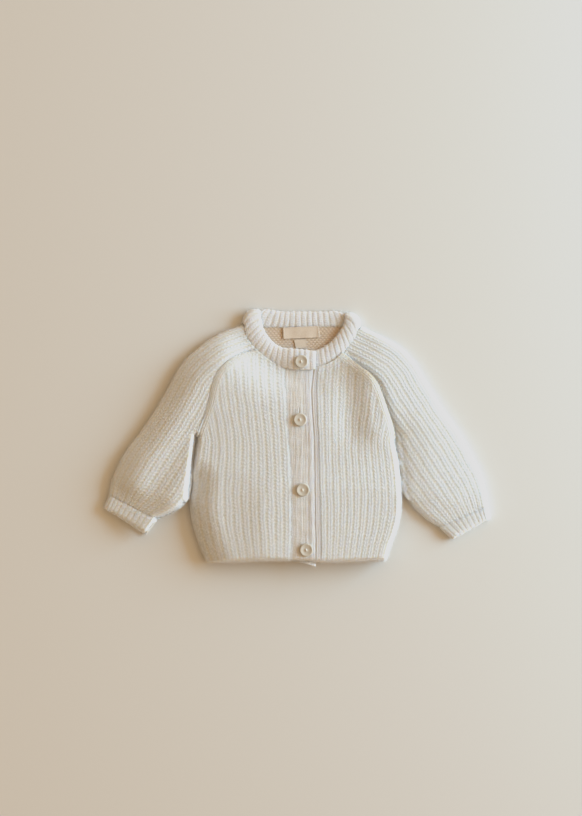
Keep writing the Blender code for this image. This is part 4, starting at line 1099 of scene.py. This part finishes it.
def back():
    """The back and its hem: flat below, knitted above only where the neck shows it, in wool darkened as
    painted shade.
    """
    near = [0.0, 0.003, 0.007, 0.012, 0.018, 0.028, 0.04]
    middle = [(0.06, 0.3, 12), (0.305, 0.715, 150), (0.74, 0.94, 12)]
    middle = [np.linspace(*part) for part in middle]
    shares = np.concatenate([near, *middle, 1 - np.array(near[::-1])])
    apart = 1.5 * SEAM_GAP
    fences = [offset(back_raglan_right, -apart), offset(back_raglan_left, apart), back_neck]
    paths = body_paths(wales_right, wales_left, shares, 150.0)
    paths = [trimmed(above(path, hem_edge), fences) for path in paths]
    rows = [(0, 0.02, 5), (0.06, 0.8, 24), (0.806, 1, 84)]
    rows = np.concatenate([np.linspace(*part) for part in rows])
    plan = np.stack([resampled(path, rows)[0] for path in paths], axis=1)
    edges = [([side_right, side_left], 3.5, 0.0), ([hem_edge], 2.0, 0.3)]
    bottom = 0.5 * UNDER_TOP * (1 - rounding(plan, edges))
    x, y = plan[..., 0], plan[..., 1]
    shown = smooth(y, BUMPS_FROM, BUMPS_FULL)
    odd = np.floor(y / BUMP_ROW) % 2
    arc = np.cos(math.tau * (x / BUMP_WIDTH + 0.5 * odd + 0.06 * wander(x, y, 12.0, 91)))
    bumps = np.abs(np.sin(math.pi * y / BUMP_ROW)) * (0.6 + 0.4 * arc)
    top = UNDER_TOP + 0.5 * shown * (bumps - 0.5)
    # Painted shade: the back's inside is kept dark, paler only on the tops of its purl bumps.
    pale = np.clip(0.15 + 0.45 * bumps, 0, 1)
    over, under = raised(plan, top), raised(plan, bottom)
    shell("knit_back", over, under, pale, shaded_inside_wool, ["back", "hem_back"], 4)


back()


# ---- the collar


def spans_of(flags):
    """The first and last+1 indices of each run of true values."""
    edges = np.flatnonzero(np.diff(np.concatenate([[0], flags.astype(int), [0]])))
    return list(zip(edges[::2], edges[1::2]))


def collar_outward(station, turn):
    """The direction in plan in which the collar's fold at a shoulder bows out."""
    along = np.array([station[2] - station[0], station[3] - station[1]])
    along /= np.linalg.norm(along)
    return np.array([along[1], -along[0]]) * turn


def collar_turn(station, turn):
    """The collar's fold at a shoulder, from its upper layer down to its lower one."""
    seam_x, seam_y, edge_x, edge_y, underside = station
    outward = collar_outward(station, turn)
    radius = underside / 2
    rows = []
    for angle in np.linspace(0, math.pi, 13):
        out = outward * radius * math.sin(angle)
        height = COLLAR_WALL / 2 + radius + radius * math.cos(angle)
        seam = (seam_x + out[0], seam_y + out[1])
        edge = (edge_x + out[0], edge_y + out[1])
        normal = (*(outward * math.sin(angle)), math.cos(angle))
        rows.append((*seam, height, *edge, *normal))
    return np.array(rows)


def collar_layer(stations, facing):
    """Rows of seam, edge and normal for a flat layer of the collar."""
    height = stations[:, 4] + COLLAR_WALL / 2
    normal = np.tile([0.0, 0.0, facing], (len(stations), 1))
    return np.column_stack([stations[:, :2], height, stations[:, 2:4], normal])


def collar():
    """The ribbed collar: one doubled band, open at the front, its ends lapped."""
    right_turn = collar_turn(collar_right[-1], -1)
    left_turn = collar_turn(collar_left[0], 1)[::-1]
    right_layer = collar_layer(collar_right[:-1], 1.0)
    back_layer = collar_layer(collar_back[1:-1], -1.0)
    left_layer = collar_layer(collar_left[1:], 1.0)
    path = np.vstack([right_layer, right_turn, back_layer, left_turn, left_layer])
    middles = np.column_stack([(path[:, :2] + path[:, 3:5]) / 2, path[:, 2]])
    reached = so_far(middles)
    folds = []
    for station, turn, rows in ((collar_right[-1], -1, right_turn), (collar_left[0], 1, left_turn)):
        middle = np.argmax(np.abs(path[:, :2] - rows[len(rows) // 2, :2]).sum(1) < 0.3)
        folds.append((reached[middle], COLLAR_BOW * collar_outward(station, turn)))
    ribs = round(reached[-1] / COLLAR_RIB)
    places = np.linspace(0, reached[-1], ribs * 10 + 1)
    rows = rows_at(places, reached, path)
    seam = rows[:, :3]
    edge = np.column_stack([rows[:, 3:5], rows[:, 2]])
    normal = unit(rows[:, 5:8])
    bow = np.zeros((len(places), 3))
    for at, outward in folds:
        bow[:, :2] += outward * bell(places - at, COLLAR_BOW_REACH)[:, None]
    # The section goes round: up the outside, over the free edge, and down the inside.
    up = np.linspace(0.0, 0.9, 28)
    over = np.linspace(0.5 * math.pi, -0.5 * math.pi, 11)[1:-1]
    shares = np.concatenate([up, 0.9 + 0.1 * np.cos(over), up[::-1]])
    outside, inside = (np.full(len(up), side * math.pi) for side in (0.5, -0.5))
    angles = np.concatenate([outside, over, inside])
    share, angle = shares[None, :], angles[None, :]
    from_end = np.minimum(places, reached[-1] - places)[:, None]
    rounded = 0.25 + 0.75 * quarter_round(from_end / 2.6)
    plump = np.sin(math.pi * np.clip(0.06 + 0.9 * share, 0, 1)) ** 0.6
    thick = COLLAR_WALL * rounded * (0.1 + 0.95 * plump)
    x, y = seam[:, 0][:, None], seam[:, 1][:, None]
    wale = places[:, None] / COLLAR_RIB + 0.1 * wander(x, y, 20.0, 41) + 0.06 * np.sin(share * 5 + x)
    height, pale = fine_rib(wale, share * COLLAR_WIDTH / FINE_ROW + 0.15 * wander(x, y, 15.0, 42))
    toward = unit(edge - seam)
    outward = np.sin(angle)[..., None] * normal[:, None] + np.cos(angle)[..., None] * toward[:, None]
    shape = seam[:, None] + share[..., None] * (edge - seam)[:, None]
    shape = shape + (4 * share * (1 - share))[..., None] * bow[:, None]
    facing_down = outward[..., 2] < -0.3
    lapped_under = (reached[-1] - places < COLLAR_END_OVERLAP)[:, None] & (angle > 0)
    height = np.where(facing_down | lapped_under, np.minimum(height, 0.0), height)
    puff = np.where(facing_down | lapped_under, 0.0, 0.25 * np.sin(math.pi * share))
    depth = 0.5 * thick * np.sin(angle) + (puff + height) * np.sin(angle)
    shape = shape + depth[..., None] * normal[:, None]
    shape = shape + (height * np.cos(angle))[..., None] * toward[:, None]
    shape[..., 2] = np.maximum(shape[..., 2], 0.0)
    # Painted shade: the collar darkens along its seam with the fronts.
    pale = pale * (0.6 + 0.4 * smooth(share, 0.0, 0.12))
    count, size = shape.shape[:2]
    faces = ring_faces(count, size)
    faces.append(list(range(size)))
    faces.append(list(range(count * size - size, count * size))[::-1])
    u, v = np.meshgrid(np.linspace(0.002, 0.998, size), np.linspace(0.002, 0.998, count))
    uvs = np.column_stack([v.ravel(), u.ravel()])
    points = shape.reshape(-1, 3)
    build("knit_collar", points, faces, pale.ravel(), uvs, collar_wool, ["collar"])
    beside_folds = np.abs(normal[:, 2]) > 0.2
    # The fuzz stands on the side that shows, and a little past the free edge.
    outside_end, inside_start = len(up) + len(over) + 3, len(up) - 2
    for part, (first, last) in enumerate(spans_of(beside_folds)):
        faces_up = normal[(first + last) // 2, 2] > 0
        seen = slice(outside_end) if faces_up else slice(inside_start, None)
        strip = shape[first:last, seen]
        fuzz("fuzz_collar_%d" % part, strip, 61 + part)


collar()


# ---- the bands


def bands():
    """The buttonhole band on top, and the button band that shows beside it."""
    shares = np.linspace(0, 1, 61)
    seam = band_seam_right + np.array([SEAM_GAP, 0.0])
    plan, along = panel_grid(seam, band_edge, shares, 95.0, band_bottom, [front_neck_right], 0.7)
    x, y = plan[..., 0], plan[..., 1]
    by_seam = np.clip(1 - shares / 0.2, 0, 1)
    floor = BAND_FLOOR - BAND_STEP * by_seam[None, :] + np.zeros(plan.shape[:-1])
    floor = np.maximum(floor, UPPER_FLOOR + UPPER_WALL - BAND_WALL - BAND_SUNK + lift(plan))
    edges = [([band_edge], 3.0, 0.45), ([seam], 2.0, 0.8), ([band_bottom], 4.0, 0.25)]
    wale = shares[None, :] * BAND_WALES + 0.2 * wander(x, y, 20.0, 31)
    height, pale = plain_knit(wale, along / FINE_ROW + 0.3 * wander(x, y, 12.0, 33), 0.22)
    lines = streaks(x, y, 2.6, 32)
    height = height + 0.12 * lines + 0.25 * wander(x, y, 14.0, 34)
    # A roll near the band's free edge: raised, and paler as a painted highlight. The band's paleness is
    # painted light and shade, paler on its raised stitches and streaks.
    ridge = bell(shares - 0.86, 0.1)[None, :]
    height = height + 0.4 * ridge
    pale = np.clip(0.3 + 0.5 * pale + 0.12 * lines + 0.3 * ridge, 0, 1)
    for (middle_x, middle_y, _), depth in zip(BUTTONS[1:], SLIT_DEPTHS):
        slit = bell(x - middle_x - SLIT_PLACE[0], SLIT_WIDTH)
        inward = SLIT_HALF - np.abs(y - middle_y - SLIT_PLACE[1])
        slit = depth * slit * smooth(inward, 0.0, 1.5)
        height = height - 0.7 * slit
        # Painted shade: each slit is darkened inside as well as sunk.
        pale = pale * (1 - 0.8 * slit)
    outer = floor + LIP + (BAND_WALL - LIP + height) * rounding(plan, edges)
    fibres = BAND_FUZZ_LENGTHS
    name = "buttonhole_band"
    knitted(name, plan, floor, outer, pale, band_wool, [name], 71, fibres)
    shares = np.concatenate([np.linspace(0, 0.6, 8)[:-1], np.linspace(0.6, 1, 30)])
    left = band_seam_right + np.array([UNDER_BAND_START, 0.0])
    right = band_seam_left - np.array([SEAM_GAP, 0.0])
    plan, along = panel_grid(left, right, shares, 95.0, hem_edge, [front_neck_left], 1.0)
    x, y = plan[..., 0], plan[..., 1]
    beyond = x - across(band_edge, y)
    floor = UPPER_FLOOR + np.maximum(lift(plan) - UNDER_BAND_SUNK, 0.0)
    level = UPPER_FLOOR + UPPER_WALL - STRIP_SUNK + lift(plan)
    rise = (level - floor - UNDER_BAND_WALL) * smooth(beyond, -1.6, 0.2)
    height, pale = plain_knit(beyond / 4.2 + 0.5, along / 3.6, 0.4)
    edges = [([left], 2.0, 0.4), ([hem_edge], 2.0, 0.4), ([right], 0.8, 0.9)]
    round_over = rounding(plan, edges)
    outer = floor + LIP + (UNDER_BAND_WALL - LIP + rise + height - 0.25) * round_over
    # Painted shade: the button band is dark under the buttonhole band and in the crease along its edge,
    # and pale where its strip shows.
    pale = np.clip(0.25 + 0.6 * pale + 0.25 * smooth(beyond, 0.0, 1.5), 0, 1)
    name = "button_band"
    knitted(name, plan, floor, outer, pale, band_wool, [name], 72, fibres, 14)


bands()


# ---- the buttons, the seams' yarn and the tapes


def turned(profile, segments):
    """Points and faces of a shape turned about z, from rows of (radius, height) in mm."""
    angles = np.linspace(0, math.tau, segments, endpoint=False)
    points = []
    for radius, height in profile[1:-1]:
        for angle in angles:
            points.append((radius * math.cos(angle), radius * math.sin(angle), height))
    rings = len(profile) - 2
    faces = [[a, d, c, b] for a, b, c, d in ring_faces(rings, segments)]
    top, bottom = len(points), len(points) + 1
    points += [(0.0, 0.0, profile[0][1]), (0.0, 0.0, profile[-1][1])]
    for k in range(segments):
        following = (k + 1) % segments
        faces.append([top, k, following])
        faces.append([bottom, (rings - 1) * segments + following, (rings - 1) * segments + k])
    return np.array(points), faces


def tube(path, radius, sides=6):
    """Points and faces of a closed tube along a path."""
    path = np.array(path, float)
    along = unit(np.gradient(path, axis=0))
    beside = unit(np.cross(along, [0.0, 0.0, 1.0]))
    above_path = np.cross(beside, along)
    points = []
    for k in range(sides):
        angle = math.tau * k / sides
        points.append(path + radius * (math.cos(angle) * beside + math.sin(angle) * above_path))
    points = np.stack(points, axis=1).reshape(-1, 3)
    faces = ring_faces(len(path), sides)
    faces.append(list(range(sides))[::-1])
    faces.append([(len(path) - 1) * sides + k for k in range(sides)])
    return points, faces


def joined(parts):
    """Several pairs of points and faces as one."""
    points, faces, start = [], [], 0
    for part_points, part_faces in parts:
        points.append(part_points)
        faces += [[start + corner for corner in face] for face in part_faces]
        start += len(part_points)
    return np.vstack(points), faces


def plain_build(name, points, faces, material, node_names):
    """A piece without knitting, its texture laid on from above."""
    spread = np.ptp(points, axis=0)[:2].max()
    low = points.min(axis=0)
    uvs = (points - low)[:, :2] / spread * 0.99 + 0.005
    pale = np.full(len(points), PLAIN_PALE)
    build(name, points, faces, pale, uvs, material, node_names)


BUTTON_PROFILE = [
    (0, 1.75), (0.5, 1.75), (1.6, 1.72), (2.8, 1.75), (4, 1.9), (5, 2.15), (5.7, 2.4), (6.3, 2.55),
    (6.9, 2.5), (7.35, 2.2), (7.6, 1.75), (7.6, 1.3), (7.35, 0.8), (6.7, 0.4), (5, 0.15), (2.5, 0.05),
    (0, 0),
]


def button(number, x, y, base, turn):
    """A pale shell button and the thread over its two holes."""
    points, faces = turned(BUTTON_PROFILE, 56)
    cos, sin = math.cos(turn * 0.3), math.sin(turn * 0.3)
    tilt = np.array([0.02 * math.sin(3 * turn), 0.03])
    points[:, 2] += points[:, :2] @ tilt
    middle = np.array([x, y, base])
    name = "button_%d" % number
    plain_build(name + "_shell", points + middle, faces, shell_gloss, [name])
    strands = []
    for offset_x in (-0.5, 0.0, 0.5):
        reach_y = np.linspace(-1.5, 1.5, 9)
        arch = 1.35 + 1.05 * np.sqrt(np.clip(1 - (reach_y / 1.55) ** 2, 0, 1)) - 0.2 * abs(offset_x)
        path = np.column_stack([offset_x * (1 - 0.2 * (reach_y / 1.5) ** 2), reach_y, arch])
        path[:, :2] = path[:, :2] @ np.array([[cos, sin], [-sin, cos]])
        strands.append(tube(path, THREAD_RADIUS))
    points, faces = joined(strands)
    plain_build(name + "_thread", points + middle, faces, thread, [])


for number, (x, y, turn) in enumerate(BUTTONS, 1):
    base = UPPER_FLOOR + UPPER_WALL - BAND_SUNK + BUTTON_GAP + lift(np.array([[x, y]]))[0]
    button(number, x, y, COLLAR_BUTTON_BASE if number == 1 else base, turn)


def seam_yarn(name, line, chart, hollows):
    """The yarn that two panels are sewn together with, down in the seam between them."""
    steps = resampled(line, np.linspace(0.01, 0.99, 160))[0]
    sunk = np.linspace(hollows[0][0], hollows[1][0], len(steps))
    hollow = np.minimum(lift(steps), lift(steps, chart) - sunk)
    twist = 0.12 * np.sin(math.pi * np.arange(len(steps)))
    height = UPPER_FLOOR + np.maximum(hollow, 0.0) + UPPER_WALL - 1.2 + twist
    points, faces = tube(np.column_stack([steps, height]), SEAM_YARN)
    plain_build(name, points, faces, cream, [])


seam_yarn("seam_raglan_right", raglan_right, right_sleeve_map, HOLLOWS_RIGHT)
seam_yarn("seam_raglan_left", raglan_left, left_sleeve_map, HOLLOWS_LEFT)


def between(ends, share):
    """A point, or points, at a share of the way between two ends."""
    return np.array(ends[0]) * (1 - share) + np.array(ends[1]) * share


def tape(name, node, top, bottom, height, wave, seed):
    """A flat woven tape between two edges, with a little wave in it."""
    down = np.linspace(0, 1, 30)[:, None, None]
    along = np.linspace(0, 1, 80)[None, :, None]
    plan = between((between(top, along), between(bottom, along)), down)
    x, y = plan[..., 0], plan[..., 1]
    rise = height + wave * wander(x, y, 16.0, seed) * (down[..., 0] ** 0.5)
    edge = np.minimum(np.minimum(down, 1 - down), np.minimum(along, 1 - along) * 3)[..., 0]
    rolled_edge = 0.12 * bell(edge, 0.05)
    over = raised(plan, rise + TAPE_THICKNESS + rolled_edge)
    pale = np.full(plan.shape[:-1], PLAIN_PALE)
    shell(name, over, raised(plan, rise), pale, peach, [node])


def running_stitches(name, starts, ends, height):
    """Short straight stitches, each from a start to an end in plan."""
    parts = []
    for start, end in zip(starts, ends):
        share = np.linspace(0, 1, 7)[:, None]
        plan = between((start, end), share)
        arch = height + 0.16 * np.sin(math.pi * share)
        parts.append(tube(np.hstack([plan, arch]), STITCH_RADIUS))
    points, faces = joined(parts)
    plain_build(name, points, faces, thread, [])


def tapes():
    """The neck label, with a row of plain stitches at each end, and the bare size tag."""
    tape("woven_label", "label", LABEL_TOP, LABEL_BOTTOM, LABEL_HEIGHT, 0.2, 81)
    tape("woven_size_tag", "size_tag", TAG_TOP, TAG_BOTTOM, TAG_HEIGHT, 0.1, 82)
    starts, ends = [], []
    for place in STITCH_PLACES:
        top, bottom = between(LABEL_TOP, place), between(LABEL_BOTTOM, place)
        for k in range(END_STITCHES):
            middle = between((top, bottom), (k + 0.5) / END_STITCHES)
            half = (bottom - top) * STITCH_HALF
            starts.append(middle - half)
            ends.append(middle + half)
    running_stitches("label_stitches", starts, ends, STITCH_HEIGHT)


tapes()


# ---- the floor, a little below the garment

FLOOR_SIZE = 6.0
FLOOR_HEIGHT = -0.0002
bpy.ops.mesh.primitive_plane_add(size=FLOOR_SIZE, location=(0, 0, FLOOR_HEIGHT))
floor = bpy.context.object
floor.name = "floor"
floor.data.materials.append(paper)

# ---- the lights

window = bpy.data.lights.new("window", "AREA")
window.shape = "RECTANGLE"
window.size, window.size_y = 1.7, 1.1
window.energy = 94.0
window.color = (0.465, 0.763, 1.0)
light = placed("window", window)
light.location = (2.174, 0.542, 0.860)
light.rotation_mode = "QUATERNION"
light.rotation_quaternion = (-Vector(light.location)).to_track_quat("-Z", "Y")
world = bpy.data.worlds.new("studio")
bpy.context.scene.world = world
world.use_nodes = True
background = world.node_tree.nodes["Background"]
background.inputs["Color"].default_value = (1.0, 0.704, 0.414, 1.0)
# The room is brighter on the window's side.
tree = world.node_tree
direction = add_node(tree, "TexCoord").outputs["Generated"]
towards_window = add_node(tree, "VectorMath", {1: (0.97, 0.24, 0.0)})
towards_window.operation = "DOT_PRODUCT"
tree.links.new(direction, towards_window.inputs[0])
room = add_node(tree, "Math", {1: 0.6, 2: 0.736}, {0: towards_window.outputs["Value"]})
room.operation = "MULTIPLY_ADD"
tree.links.new(room.outputs["Value"], background.inputs["Strength"])

# ---- the camera

IMAGE_WIDTH, IMAGE_HEIGHT = 582, 816
# Millimetres to a pixel, and the height in metres at which that holds.
PIXEL = 1.142
SCALE_HEIGHT = 0.006
# Where the tables' origin lies in the picture, from its top left corner.
ORIGIN_COLUMN, ORIGIN_ROW = 297.0, 437.5
LENS = 85.0
SENSOR = 36.0
# A camera's soft shoulder: (light in, light out).
TONE_SHOULDER = [(0.3, 0.3), (0.6, 0.6), (0.68, 0.68), (0.72, 0.711), (0.78, 0.732), (0.88, 0.742)]
TONE_END = (1.0, 0.745)
camera_data = bpy.data.cameras.new("camera")
camera_data.lens = LENS
camera_data.sensor_width = SENSOR
camera_data.dof.use_dof = False
camera = placed("camera", camera_data)
camera.location = (
    (IMAGE_WIDTH / 2 - ORIGIN_COLUMN) * PIXEL * MM,
    ((ORIGIN_ROW - IMAGE_HEIGHT / 2) * PIXEL - OUTLINE_MIDDLE[1]) * MM,
    IMAGE_HEIGHT * PIXEL * MM * LENS / SENSOR + SCALE_HEIGHT,
)
camera.rotation_euler = (0.0, 0.0, 0.0)
bpy.context.scene.camera = camera
view = bpy.context.scene.view_settings
view.view_transform = "Standard"
view.use_curve_mapping = True
tone = view.curve_mapping.curves[3]
tone.points[0].location = (0.0, 0.0)
tone.points[1].location = TONE_END
for light_in, light_out in TONE_SHOULDER:
    tone.points.new(light_in, light_out)
view.curve_mapping.update()
